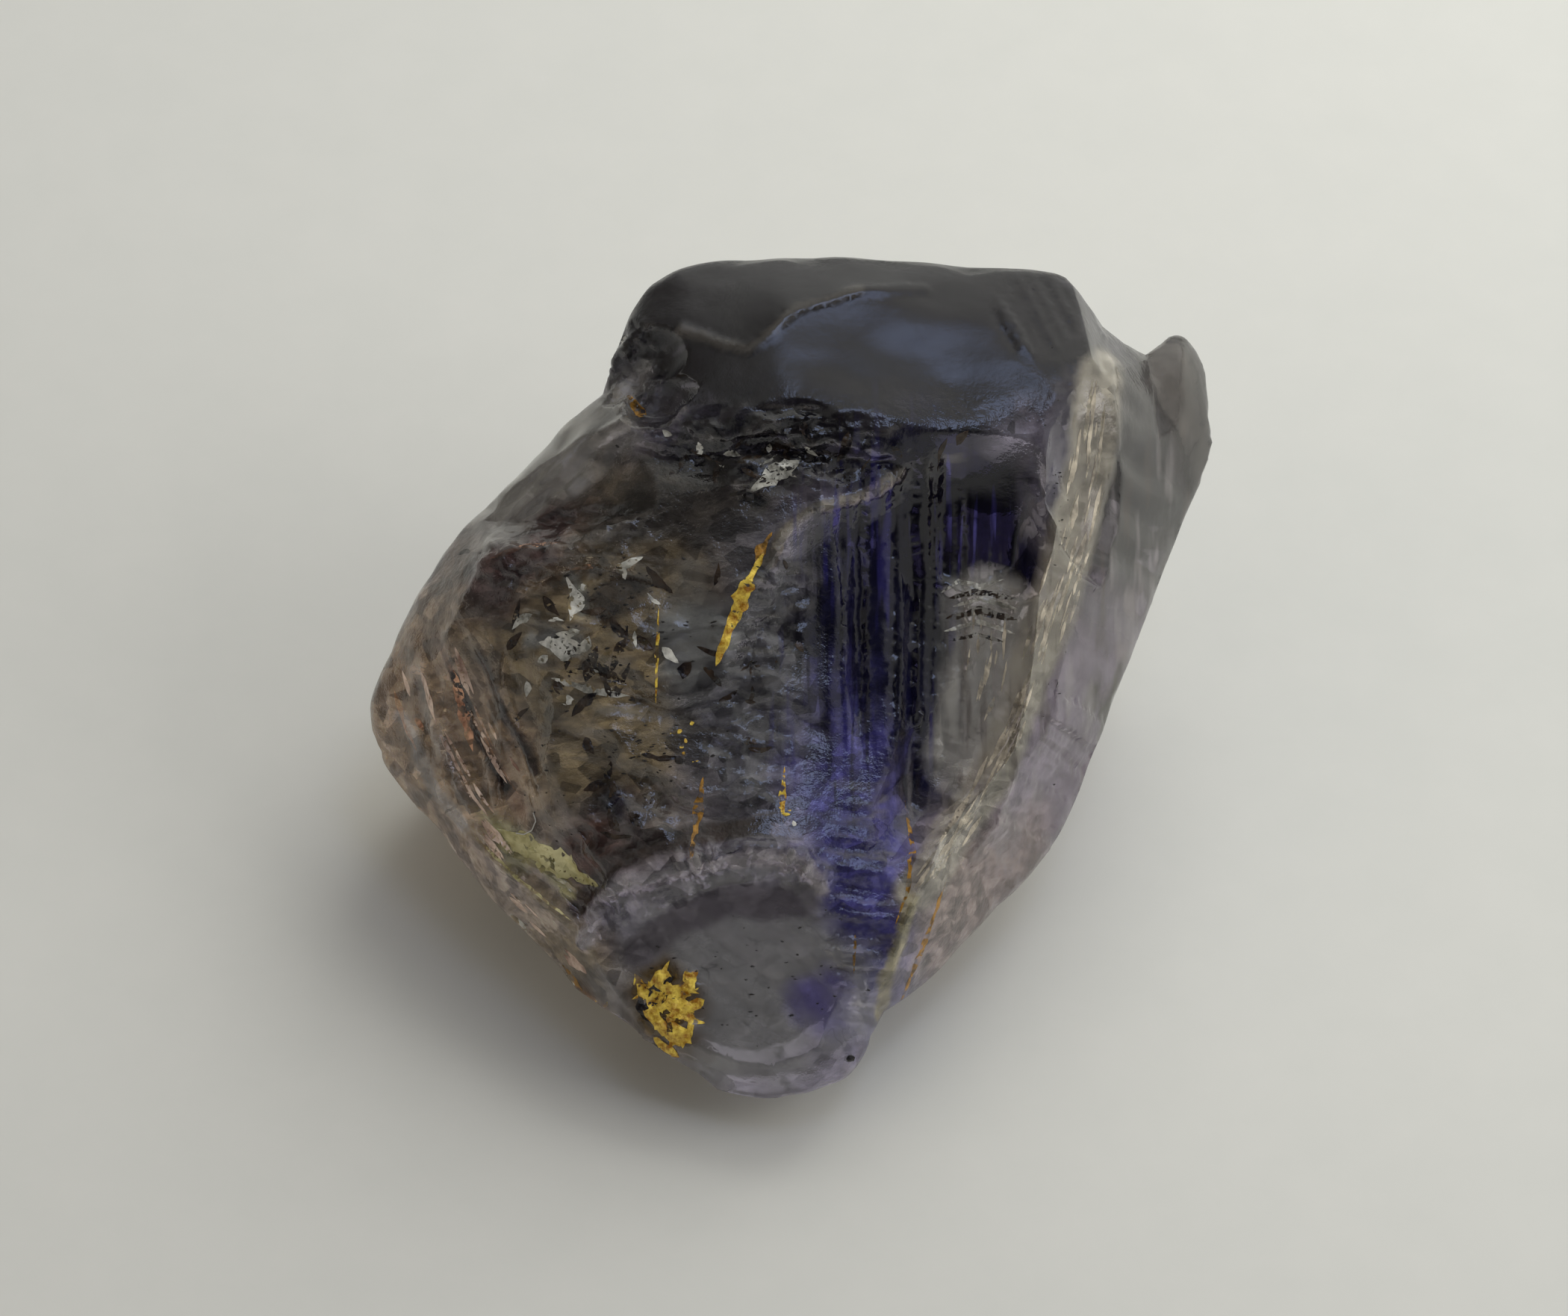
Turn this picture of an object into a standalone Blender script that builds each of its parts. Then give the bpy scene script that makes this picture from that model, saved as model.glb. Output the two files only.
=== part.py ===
"""Rough tanzanite: one broken piece of clear zoisite crystal, about 12.6 mm across.

The stone is a single solid. Its outside is a set of fracture faces that meet in ridges: a smooth top
block, a long sloping front, a cream ridge and a steep flank on the right, a shoulder on the left, a
rounded lobe at the front tip, and a small horn at the back right. It rests on a flat cleavage face.

Points on the front are given as they are seen from in front and above: across, up the view, and
relief, which is how far the point stands in front of the main sloping face. All are in millimetres.
"""

from math import cos, pi, radians, sin, sqrt

import bmesh
import bpy
from mathutils import Matrix, Vector
from mathutils.bvhtree import BVHTree
from mathutils.geometry import delaunay_2d_cdt

MM = 0.001
# The stone is seen from this far above the level, and its main face stands this far toward the eye from
# the middle of the base, less the lean for each millimetre up the view.
LOOKING_DOWN = radians(50)
FACE_DISTANCE = 6.1
FACE_LEAN = 0.15
# How far a corner of the outline with no point inside it bulges, and how sharp the outline's edge is.
CORNER_RISE = 0.12
RIM_SHARPNESS = 0.4
# How finely the faces are rounded between ridges, and the share of triangles kept after that.
SMOOTHING_LEVELS = 2
TRIANGLE_SHARE = 0.31
SHARP_ANGLE = radians(24)

# A chip's bowl is cut out by a solid with an uneven round plan: rings as shares of its half size, then
# a flared wall. The wobble is how far two and three soft lobes push its plan out and in.
BOWL_RINGS = (0.28, 0.55, 0.8, 1.0, 1.2)
BOWL_SIDES = 24
BOWL_WOBBLE = (0.13, 0.08)
FLARE = 1.9
FLARE_RISE = 1.6

# The outline of the stone as seen, clockwise from the notch under the top block's left end.
OUTLINE = [
    (-2.80, 4.15, -1.2), (-2.68, 4.55, -1.0), (-2.52, 5.02, -1.0), (-2.32, 5.52, -1.0),
    (-1.98, 5.90, -1.0), (-1.48, 6.10, -1.0), (-0.70, 6.19, -1.0), (0.35, 6.22, -1.0),
    (1.40, 6.14, -1.0), (2.70, 6.07, -1.0), (3.75, 6.03, -1.1), (4.08, 5.93, -1.2),
    (4.36, 5.60, -1.6), (4.65, 5.22, -2.0), (4.95, 4.93, -2.4), (5.26, 4.82, -2.8),
    (5.50, 4.98, -3.0), (5.72, 5.10, -3.1), (5.97, 5.02, -3.3), (6.17, 4.72, -3.4),
    (6.27, 4.20, -3.4), (6.26, 3.88, -3.4), (6.38, 3.48, -3.5), (6.22, 3.04, -3.5),
    (5.92, 2.46, -3.4), (5.52, 1.40, -3.3), (5.15, 0.47, -3.2), (4.82, -0.32, -3.1),
    (4.52, -1.16, -3.0), (4.22, -1.98, -2.8), (3.75, -2.74, -2.6), (3.05, -3.40, -2.3),
    (2.47, -4.08, -2.0), (1.88, -4.62, -1.7), (1.36, -4.93, -1.4), (1.21, -5.20, -1.0),
    (1.03, -5.71, -0.9), (0.60, -6.04, -0.9), (0.00, -6.22, -0.9), (-0.70, -6.15, -1.0),
    (-1.41, -5.94, -1.1), (-2.12, -5.54, -1.3), (-2.82, -5.01, -1.6), (-3.40, -4.31, -1.9),
    (-3.99, -3.73, -2.2), (-4.69, -3.03, -2.5), (-5.26, -2.33, -2.7), (-5.85, -1.68, -2.8),
    (-6.20, -1.15, -2.8), (-6.33, -0.50, -2.7), (-6.20, -0.07, -2.6), (-5.96, 0.40, -2.5),
    (-5.72, 1.07, -2.3), (-5.38, 1.44, -2.2), (-5.03, 2.10, -2.1), (-4.56, 2.50, -2.0),
    (-4.10, 3.00, -1.8), (-3.63, 3.47, -1.6), (-3.16, 3.92, -1.4),
]

# Ridges on the front: how sharp each is, from 0 to 1, and its points.
FRONT_RIDGES = {
    "top_block_brow": (0.5, [
        (-2.35, 3.80, -0.15), (-1.75, 3.90, 0.10), (-1.00, 4.05, 0.25), (0.00, 4.10, 0.35),
        (1.00, 3.85, 0.35), (2.00, 3.55, 0.25), (3.50, 3.50, -0.10),
    ]),
    "top_block_wave": (0.6, [
        (-1.65, 4.95, -0.20), (-0.75, 4.70, 0.15), (-0.25, 5.15, 0.05), (0.20, 5.50, -0.10),
        (1.00, 5.68, -0.30), (1.80, 5.72, -0.40),
    ]),
    "top_block_left_chips": (1.0, [
        (-2.52, 5.02, -1.0), (-2.15, 5.10, -0.45), (-1.65, 4.95, -0.20),
    ]),
    "notch_lip": (1.0, [
        (-2.80, 4.15, -1.2), (-2.45, 4.25, -0.75), (-2.05, 4.30, -0.40), (-1.75, 3.90, 0.10),
    ]),
    "notch_floor": (0.8, [(-2.45, 4.25, -0.75), (-2.35, 3.80, -0.15)]),
    "top_block_right_end": (1.0, [
        (4.08, 5.93, -1.2), (4.28, 5.20, -0.80), (4.38, 4.65, -0.50),
    ]),
    "cream_face_inner_edge": (1.0, [
        (4.38, 4.65, -0.50), (4.05, 4.00, -0.25), (3.95, 3.00, -0.20), (3.85, 2.00, -0.10),
        (3.65, 1.10, -0.05), (3.52, 0.20, 0.00), (3.32, -0.60, 0.00), (3.05, -1.20, 0.00),
        (2.80, -1.90, -0.05), (2.20, -2.50, -0.10), (1.82, -3.05, -0.15), (1.60, -3.60, -0.20),
        (1.42, -4.30, -0.40), (1.36, -4.93, -1.4),
    ]),
    "cream_face_outer_edge": (1.0, [
        (4.38, 4.65, -0.50), (4.78, 4.25, -0.95), (4.70, 3.30, -1.00), (4.45, 2.30, -0.85),
        (4.12, 1.60, -0.60), (3.82, 0.90, -0.35), (3.52, 0.20, 0.00),
    ]),
    "violet_hollow_right_edge": (1.0, [
        (4.05, 4.00, -0.25), (3.50, 3.50, -0.15), (3.32, 2.50, -0.62), (3.24, 1.60, -0.72),
        (3.45, 1.32, -0.45), (3.65, 1.10, -0.05),
    ]),
    "lens_chip_edge": (1.0, [
        (3.24, 1.60, -0.72), (2.62, 1.30, -0.70), (2.35, 0.60, -0.72), (2.22, -0.20, -0.68),
        (2.30, -0.90, -0.56), (2.08, -1.60, -0.46), (1.80, -2.25, -0.34), (1.66, -3.05, -0.24),
    ]),
    "shoulder_ridge": (1.0, [
        (-2.35, 3.80, -0.15), (-2.75, 3.45, -0.25), (-3.25, 3.05, -0.35), (-3.60, 2.72, -0.45),
        (-3.92, 2.20, -0.50), (-4.30, 1.95, -0.65), (-4.65, 1.45, -0.80), (-4.88, 0.95, -0.95),
        (-5.10, 0.45, -1.20), (-5.96, 0.40, -2.5),
    ]),
    "copper_edge": (0.8, [
        (-5.10, 0.45, -1.20), (-4.92, -0.10, -1.15), (-4.66, -0.90, -1.15), (-4.42, -1.40, -1.15),
        (-4.35, -1.95, -1.15),
    ]),
    "front_left_edge": (0.9, [
        (-4.88, 0.95, -0.95), (-4.12, 0.15, -0.45), (-3.76, -0.50, -0.38), (-3.50, -1.30, -0.32),
        (-3.22, -2.00, -0.32), (-2.75, -2.95, -0.35),
    ]),
    "yellow_facet_top": (1.0, [
        (-4.35, -1.95, -1.15), (-3.55, -2.38, -0.70), (-2.75, -2.95, -0.35),
    ]),
    "lower_left_ridge": (1.0, [
        (-6.20, -1.15, -2.8), (-5.35, -1.70, -1.95), (-4.62, -2.42, -1.50), (-3.86, -3.15, -1.15),
        (-3.05, -3.78, -0.80), (-2.60, -4.55, -0.75), (-2.05, -5.25, -0.80), (-1.41, -5.94, -1.1),
    ]),
    "lobe_outer_arch": (1.0, [
        (-3.05, -3.78, -0.80), (-2.75, -2.95, -0.35), (-2.30, -2.85, -0.08), (-1.70, -2.65, 0.05),
        (-1.10, -2.55, 0.12), (-0.50, -2.50, 0.12), (0.08, -2.56, 0.08), (0.42, -2.85, -0.02),
    ]),
    "lobe_inner_arch": (1.0, [
        (-2.45, -4.05, -0.75), (-2.15, -3.55, -0.55), (-1.65, -3.22, -0.38), (-1.10, -3.02, -0.26),
        (-0.50, -2.96, -0.22), (0.02, -3.04, -0.24), (0.22, -3.35, -0.26), (0.26, -3.85, -0.26),
        (0.16, -4.30, -0.24),
    ]),
    "flank_fold_high": (0.3, [
        (4.82, -0.32, -3.1), (4.15, -0.75, -1.70), (3.40, -1.40, -1.00), (2.75, -2.10, -0.35),
    ]),
    "flank_fold_low": (0.3, [
        (4.22, -1.98, -2.8), (3.40, -2.15, -1.75), (2.60, -2.72, -0.95), (2.02, -3.25, -0.45),
    ]),
    "horn_crease": (0.5, [
        (5.26, 4.82, -2.8), (5.35, 4.30, -2.30), (5.45, 3.50, -2.30), (5.30, 2.50, -2.15),
    ]),
}

# Ledges on the front: how far the foot lies from the lip (across, up), how deep it drops, and the lip.
FRONT_LEDGES = {
    "gold_ridge": ((0.20, -0.34), 0.34, [
        (1.62, 2.98, 0.06), (0.92, 2.58, 0.06), (0.38, 2.38, 0.14), (-0.10, 2.06, 0.20),
        (-0.38, 1.60, 0.22), (-0.62, 1.10, 0.20), (-0.90, 0.55, 0.16),
    ]),
    "growth_step": ((0.17, 0.03), 0.22, [
        (0.78, 1.72, -0.22), (0.74, 1.00, -0.22), (0.80, 0.10, -0.24), (0.86, -0.75, -0.26),
    ]),
    "second_step": ((0.18, 0.02), 0.20, [
        (1.62, 1.60, -0.46), (1.66, 0.60, -0.46), (1.60, -0.60, -0.44), (1.48, -1.60, -0.36),
    ]),
    "brow_ledge": ((0.05, -0.26), 0.24, [
        (-1.90, 3.42, 0.02), (-1.00, 3.46, 0.26), (-0.20, 3.60, 0.32), (0.70, 3.44, 0.30),
        (1.35, 3.36, 0.24),
    ]),
    "fish_ledge": ((0.08, -0.15), 0.13, [
        (-0.85, 2.70, 0.20), (-0.42, 2.96, 0.24), (0.05, 3.06, 0.24),
    ]),
    "brown_ledge": ((0.10, -0.30), 0.18, [
        (-4.05, 1.50, -0.44), (-3.55, 1.80, -0.18), (-2.95, 1.92, 0.02), (-2.35, 1.74, 0.10),
        (-1.85, 1.52, 0.12),
    ]),
    "stair_ledge": ((-0.12, -0.22), 0.20, [
        (-3.70, 0.86, -0.24), (-3.02, 0.80, -0.06), (-2.92, 0.28, -0.04), (-2.22, 0.22, 0.05),
        (-2.10, -0.20, 0.05), (-1.45, -0.32, 0.06),
    ]),
    "slab_ledge": ((-0.12, -0.22), 0.18, [
        (-3.30, -0.62, -0.26), (-2.55, -0.70, -0.06), (-2.45, -1.22, -0.04), (-1.75, -1.30, 0.00),
        (-1.62, -1.72, 0.02), (-0.95, -1.80, 0.00),
    ]),
    "middle_ledge": ((0.04, -0.24), 0.16, [
        (-1.00, 0.02, 0.08), (-0.50, -0.16, 0.00), (0.00, -0.30, -0.08), (0.42, -0.58, -0.20),
    ]),
}

# Single points that shape the faces between the front ridges.
FRONT_SPOTS = [
    (-2.15, 4.75, -0.55), (-1.50, 4.40, 0.05), (-1.50, 5.55, -0.45), (-0.50, 5.75, -0.45),
    (0.60, 4.80, -0.02), (2.00, 4.80, -0.10), (3.20, 4.60, -0.16), (3.30, 5.50, -0.55),
    (2.20, 5.60, -0.50), (0.60, 5.95, -0.65), (2.90, 3.95, -0.02),
    (5.72, 4.62, -2.45), (5.90, 3.90, -2.75), (5.70, 3.00, -2.80), (5.05, 1.40, -2.35),
    (4.65, 0.40, -2.20), (5.00, 4.40, -1.75), (4.95, 3.20, -1.50), (4.60, 1.50, -1.25),
    (4.10, 0.50, -1.00), (3.72, -0.30, -0.70), (3.30, -2.90, -1.95), (2.55, -3.55, -1.45),
    (1.90, -4.15, -1.10), (2.15, -3.70, -0.85), (3.80, -1.55, -2.10), (2.95, -1.55, -0.35),
    (1.30, 1.70, -0.46), (2.20, 2.60, -0.62), (1.30, 0.30, -0.46), (2.05, 1.20, -0.68),
    (0.40, -1.25, -0.24), (1.20, -1.60, -0.36), (0.95, -2.40, -0.24), (0.30, 0.90, -0.24),
    (2.60, 3.10, -0.32), (1.30, -2.95, -0.22),
    (2.85, -0.10, -0.62), (2.80, 0.70, -0.62), (2.60, -1.10, -0.44), (2.15, -2.20, -0.26),
    (3.60, 2.40, -0.42), (0.50, 3.10, 0.24), (-0.80, 3.05, 0.20), (-2.00, 2.70, 0.12),
    (-2.10, 1.00, 0.08), (-1.30, 0.60, 0.10), (-1.60, -0.90, 0.00), (-2.50, -2.20, -0.10),
    (-0.60, -2.00, -0.02), (-1.50, -2.38, 0.00), (-3.20, 2.50, -0.16), (-4.25, 1.00, -0.58),
    (-3.95, 2.75, -1.00), (-3.20, 3.40, -0.75), (-4.70, 1.95, -1.35), (-5.20, 1.20, -1.60),
    (-5.60, -0.20, -2.00), (-5.20, -0.90, -1.65), (-4.95, -1.60, -1.55), (-4.05, -0.90, -0.80),
    (-3.90, -1.70, -0.82), (-3.70, -2.85, -1.00), (-4.30, -3.05, -1.95), (-3.30, -4.05, -1.35),
    (-5.45, -1.95, -2.30), (-2.60, -4.95, -1.25),
    (-1.50, -3.90, -0.50), (-0.70, -3.70, -0.36), (-0.60, -4.60, -0.24),
    (0.35, -4.90, -0.24), (-1.40, -5.10, -0.48), (0.70, -5.45, -0.46), (-0.30, -5.60, -0.44),
    (-2.00, -4.70, -0.66), (0.80, -3.60, -0.12), (0.80, -4.50, -0.22),
]

# Ridges on the back and underside. They are seen through the stone, so the same three numbers serve.
BACK_RIDGES = {
    "back_spine": (1.0, [
        (-3.63, 3.47, -1.6), (-2.30, 4.30, -3.0), (-0.50, 5.05, -3.8), (1.30, 5.00, -4.5),
        (3.60, 4.40, -4.6), (5.20, 3.50, -4.5), (6.38, 3.48, -3.5),
    ]),
    "back_buttress": (1.0, [
        (-0.50, 5.05, -3.8), (-0.75, 3.70, -5.7), (-0.55, 2.60, -6.9), (-0.20, 1.70, -7.9),
    ]),
    "base_back_edge": (1.0, [
        (-3.60, 0.50, -6.8), (-2.00, 1.20, -7.4), (-0.20, 1.70, -7.9), (1.60, 1.25, -7.5),
        (2.90, 0.60, -7.1),
    ]),
    "base_right_edge": (1.0, [
        (2.90, 0.60, -7.1), (2.95, -0.60, -6.2), (2.50, -1.80, -5.5), (1.80, -3.10, -4.6),
        (1.10, -4.30, -3.8),
    ]),
    "base_front_edge": (1.0, [
        (1.10, -4.30, -3.8), (0.10, -5.05, -3.2), (-1.20, -5.05, -3.2), (-2.50, -4.45, -3.6),
    ]),
    "base_left_edge": (1.0, [
        (-2.50, -4.45, -3.6), (-3.80, -3.00, -4.6), (-4.60, -1.90, -5.2), (-4.50, -0.60, -5.9),
        (-3.60, 0.50, -6.8),
    ]),
    "left_keel": (0.5, [
        (-6.33, -0.50, -2.7), (-5.45, -0.40, -4.3), (-4.50, -0.60, -5.9),
    ]),
    "left_back_corner": (1.0, [
        (-2.30, 4.30, -3.0), (-3.45, 2.50, -4.9), (-3.60, 0.50, -6.8),
    ]),
    "right_back_corner": (1.0, [
        (3.60, 4.40, -4.6), (3.90, 2.60, -6.0), (2.90, 0.60, -7.1),
    ]),
    "right_keel": (1.0, [
        (5.20, 3.50, -4.5), (4.90, 1.30, -4.7), (4.00, -0.80, -4.5), (2.50, -1.80, -5.5),
    ]),
    "heel_keel": (0.8, [
        (4.22, -1.98, -2.8), (3.40, -2.20, -4.1), (2.50, -1.80, -5.5),
    ]),
    "toe_keel": (0.8, [
        (-2.82, -5.01, -1.6), (-2.75, -4.75, -2.6), (-2.50, -4.45, -3.6),
    ]),
}
BACK_SPOTS = [
    (1.60, 3.20, -5.5), (-2.05, 3.00, -5.0), (-2.00, 2.00, -6.3), (1.60, 2.10, -6.5),
    (4.60, 2.60, -5.0), (3.90, 1.20, -5.4),
    (-4.70, 1.40, -3.7), (-4.20, 1.60, -4.6), (-5.25, -1.50, -3.7), (-4.20, -3.10, -3.3),
    (-0.60, -5.75, -1.9), (0.80, -5.35, -1.9), (1.70, -4.30, -2.5), (3.00, -3.00, -3.2),
    (4.60, -0.40, -3.9), (5.50, 2.40, -4.0), (5.75, 4.40, -4.1), (4.60, 4.60, -3.7),
    (-0.60, -2.00, -5.6), (-2.60, -1.20, -6.0), (0.60, -0.20, -6.8), (1.20, 5.70, -2.6),
    (-1.20, 5.60, -2.2), (3.20, 5.40, -2.7), (-2.20, 5.10, -1.9),
]

# Bowls left by later blows: middle of the bowl as seen (across, up, relief), the way it faces (degrees
# round from the viewer, degrees up), half width, half height, depth, and how far its length is turned.
CHIPS = {
    "notch_chip": ((-2.42, 4.70, 0), (-52, 40), 0.50, 0.80, 0.17, -18),
    "notch_low_chip": ((-2.10, 4.15, 0), (-30, 30), 0.60, 0.34, 0.14, 10),
    "shoulder_chip": ((-3.72, 3.22, 0), (-44, 38), 2.60, 0.80, 0.16, 42),
    "copper_dish": ((-4.30, -0.80, 0), (-32, 42), 0.50, 1.90, 0.15, 10),
    "outer_left_dish": ((-5.50, -0.35, 0), (-52, 26), 0.62, 1.30, 0.15, 18),
    "yellow_dish": ((-3.60, -2.80, 0), (-38, 24), 1.35, 0.34, 0.13, -32),
    "lens_chip": ((2.82, -0.10, 0), (-14, 46), 0.74, 1.60, 0.24, -17),
    "cream_face_nick": ((4.36, 3.20, 0), (34, 40), 0.42, 1.60, 0.08, -9),
    "lobe_hollow": ((-0.70, -4.60, 0), (-8, 50), 2.20, 1.75, 0.22, 24),
    "flank_top_dish": ((5.30, 3.10, 0), (44, 32), 0.95, 1.90, 0.16, -8),
    "flank_middle_dish": ((4.40, 0.10, 0), (52, 26), 1.20, 2.60, 0.13, -24),
    "flank_low_dish": ((3.05, -2.55, 0), (50, 22), 0.85, 1.60, 0.17, -42),
    "back_right_wall_scar": ((1.70, 3.20, -5.5), (172, 4), 2.10, 2.70, 0.36, 12),
    "back_left_wall_scar": ((-2.10, 2.70, -5.2), (206, 2), 1.50, 2.60, 0.30, -14),
    "back_top_scar": ((-1.20, 5.40, -2.6), (192, 46), 2.40, 0.90, 0.24, -4),
    "back_left_scar": ((-4.30, 1.90, -4.3), (248, 0), 1.40, 2.60, 0.30, 22),
    "back_right_scar": ((4.60, 2.70, -5.0), (128, -10), 1.50, 2.20, 0.30, -24),
    "right_under_scar": ((3.90, 0.10, -5.1), (76, -34), 2.40, 1.20, 0.26, 14),
    "left_under_scar": ((-5.20, -1.50, -3.8), (292, -30), 2.40, 1.20, 0.24, -12),
    "front_under_scar": ((-2.60, -4.80, -2.4), (332, -36), 2.10, 0.85, 0.20, 10),
}


def seen(across, up, relief):
    """Turns a point as it is seen from in front and above into x, y, z of the resting stone, in mm."""
    toward = FACE_DISTANCE - FACE_LEAN * up + relief
    return Vector((
        across,
        up * sin(LOOKING_DOWN) - toward * cos(LOOKING_DOWN),
        up * cos(LOOKING_DOWN) + toward * sin(LOOKING_DOWN),
    ))


def fill_rim_corner(bm, corners, rise):
    """Fills a corner of the outline with three triangles that meet a little above or below it."""
    middle = sum((corner.co for corner in corners), Vector()) / 3
    middle += rise * Vector((0, -cos(LOOKING_DOWN), sin(LOOKING_DOWN)))
    peak = bm.verts.new(middle)
    for start, end in zip(corners, corners[1:] + corners[:1]):
        bm.faces.new((start, end, peak))


def front_lines():
    """All lines of the front: its ridges, and the lip and the foot of each ledge."""
    lines = list(FRONT_RIDGES.values())
    for (across, up), drop, lip in FRONT_LEDGES.values():
        foot = [(x + across, y + up, relief - drop) for x, y, relief in lip]
        lines += [(1.0, lip), (1.0, foot)]
    return lines


def add_side(bm, rim, ridges, spots, sharpness, facing_eye):
    """Fills one side of the outline with triangles that follow its ridges, and marks their sharpness."""
    points = list(OUTLINE)
    edges, edge_sharpness = [], []
    for sharp, line in ridges:
        first = len(points)
        points += line
        for step in range(len(line) - 1):
            edges.append((first + step, first + step + 1))
            edge_sharpness.append(sharp)
    points += spots
    flat = [Vector(point[:2]) for point in points]
    ring = list(range(len(OUTLINE)))[::-1]
    verts, lines, faces, vert_source, line_source, face_source = delaunay_2d_cdt(
        flat, edges, [ring], 1, 1e-4, True
    )
    made = []
    for sources in vert_source:
        first = min(sources)
        made.append(rim[first] if first < len(OUTLINE) else bm.verts.new(seen(*points[first])))
    for face, inside_outline in zip(faces, face_source):
        if not inside_outline:
            continue
        corners = [made[index] for index in face]
        if not facing_eye:
            corners.reverse()
        if max(min(vert_source[index]) for index in face) < len(OUTLINE):
            fill_rim_corner(bm, corners, CORNER_RISE if facing_eye else -CORNER_RISE)
        else:
            bm.faces.new(corners)
    for ends, sources in zip(lines, line_source):
        given = [edge_sharpness[source] for source in sources if source < len(edges)]
        edge = bm.edges.get([made[index] for index in ends])
        if given and edge:
            edge[sharpness] = max(given)


def stone_cage():
    """Builds the coarse cage of the whole stone from the outline, the ridges and the spots."""
    bm = bmesh.new()
    sharpness = bm.edges.layers.float.new("crease_edge")
    rim = [bm.verts.new(seen(*point)) for point in OUTLINE]
    add_side(bm, rim, front_lines(), FRONT_SPOTS, sharpness, True)
    add_side(bm, rim, BACK_RIDGES.values(), BACK_SPOTS, sharpness, False)
    for start, end in zip(rim, rim[1:] + rim[:1]):
        bm.edges.get((start, end))[sharpness] = RIM_SHARPNESS
    mesh = bpy.data.meshes.new("tanzanite_crystal")
    bm.to_mesh(mesh)
    bm.free()
    return mesh


def chip_cutter(name, surface, spot, facing, half_width, half_height, depth, turn):
    """Makes the hidden solid that cuts one chip: a shallow bowl with a flared wall and a flat lid."""
    round_from_viewer, up = (radians(angle) for angle in facing)
    axes = Matrix.Rotation(round_from_viewer, 3, "Z") @ Matrix.Rotation(pi / 2 - up, 3, "X")
    outward = axes @ Vector((0, 0, 1))
    probe = seen(*spot)
    hit, _, _, _ = surface.ray_cast(probe + 20 * outward, -outward)
    frame = axes @ Matrix.Rotation(radians(turn), 3, "Z")
    mean_half = sqrt(half_width * half_height)
    ball = (mean_half ** 2 + depth ** 2) / (2 * depth)
    rings = [(share, ball - sqrt(ball ** 2 - (share * mean_half) ** 2) - depth) for share in BOWL_RINGS]
    rings.append((FLARE, FLARE_RISE))

    def plan(angle):
        two, three = BOWL_WOBBLE
        return 1 + two * cos(2 * angle + spot[0]) + three * cos(3 * angle + spot[1])

    bm = bmesh.new()
    lowest = bm.verts.new(hit - depth * outward)
    inner = None
    for share, height in rings:
        angles = [2 * pi * side / BOWL_SIDES for side in range(BOWL_SIDES)]
        ring = [
            bm.verts.new(hit + frame @ Vector((
                share * plan(angle) * half_width * cos(angle),
                share * plan(angle) * half_height * sin(angle),
                height,
            )))
            for angle in angles
        ]
        for side in range(BOWL_SIDES):
            after = (side + 1) % BOWL_SIDES
            if inner:
                bm.faces.new((inner[after], inner[side], ring[side], ring[after]))
            else:
                bm.faces.new((lowest, ring[side], ring[after]))
        inner = ring
    bm.faces.new(inner)
    bmesh.ops.recalc_face_normals(bm, faces=bm.faces[:])
    mesh = bpy.data.meshes.new(name)
    bm.to_mesh(mesh)
    bm.free()
    cutter = bpy.data.objects.new(name, mesh)
    bpy.context.scene.collection.objects.link(cutter)
    cutter.hide_render = True
    cutter.display_type = "WIRE"
    return cutter


def tanzanite_material():
    """Clear violet-blue zoisite, a little cloudy, with a glassy surface."""
    material = bpy.data.materials.new("clear_tanzanite")
    material.use_nodes = True
    shader = material.node_tree.nodes["Principled BSDF"]
    shader.inputs["Base Color"].default_value = (0.16, 0.15, 0.24, 1.0)
    shader.inputs["Roughness"].default_value = 0.05
    shader.inputs["IOR"].default_value = 1.695
    shader.inputs["Transmission Weight"].default_value = 0.85
    shader.inputs["Metallic"].default_value = 0.0
    return material


def finished_mesh(stone):
    """Reads the shaped stone, cuts its cleavage face flat, and puts the origin under its middle."""
    bpy.context.view_layer.update()
    graph = bpy.context.evaluated_depsgraph_get()
    mesh = bpy.data.meshes.new_from_object(stone.evaluated_get(graph))
    bm = bmesh.new()
    bm.from_mesh(mesh)
    cut = bmesh.ops.bisect_plane(
        bm, geom=bm.verts[:] + bm.edges[:] + bm.faces[:], dist=1e-5,
        plane_co=(0, 0, 0), plane_no=(0, 0, -1), clear_outer=True,
    )
    rim = [part for part in cut["geom_cut"] if isinstance(part, bmesh.types.BMEdge)]
    bmesh.ops.contextual_create(bm, geom=rim)
    bmesh.ops.triangulate(bm, faces=bm.faces[:])
    xs = [vert.co.x for vert in bm.verts]
    ys = [vert.co.y for vert in bm.verts]
    middle = Vector(((min(xs) + max(xs)) / 2, (min(ys) + max(ys)) / 2, 0))
    bmesh.ops.translate(bm, verts=bm.verts[:], vec=-middle)
    bmesh.ops.scale(bm, verts=bm.verts[:], vec=(MM, MM, MM))
    bm.to_mesh(mesh)
    bm.free()
    return mesh


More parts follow.
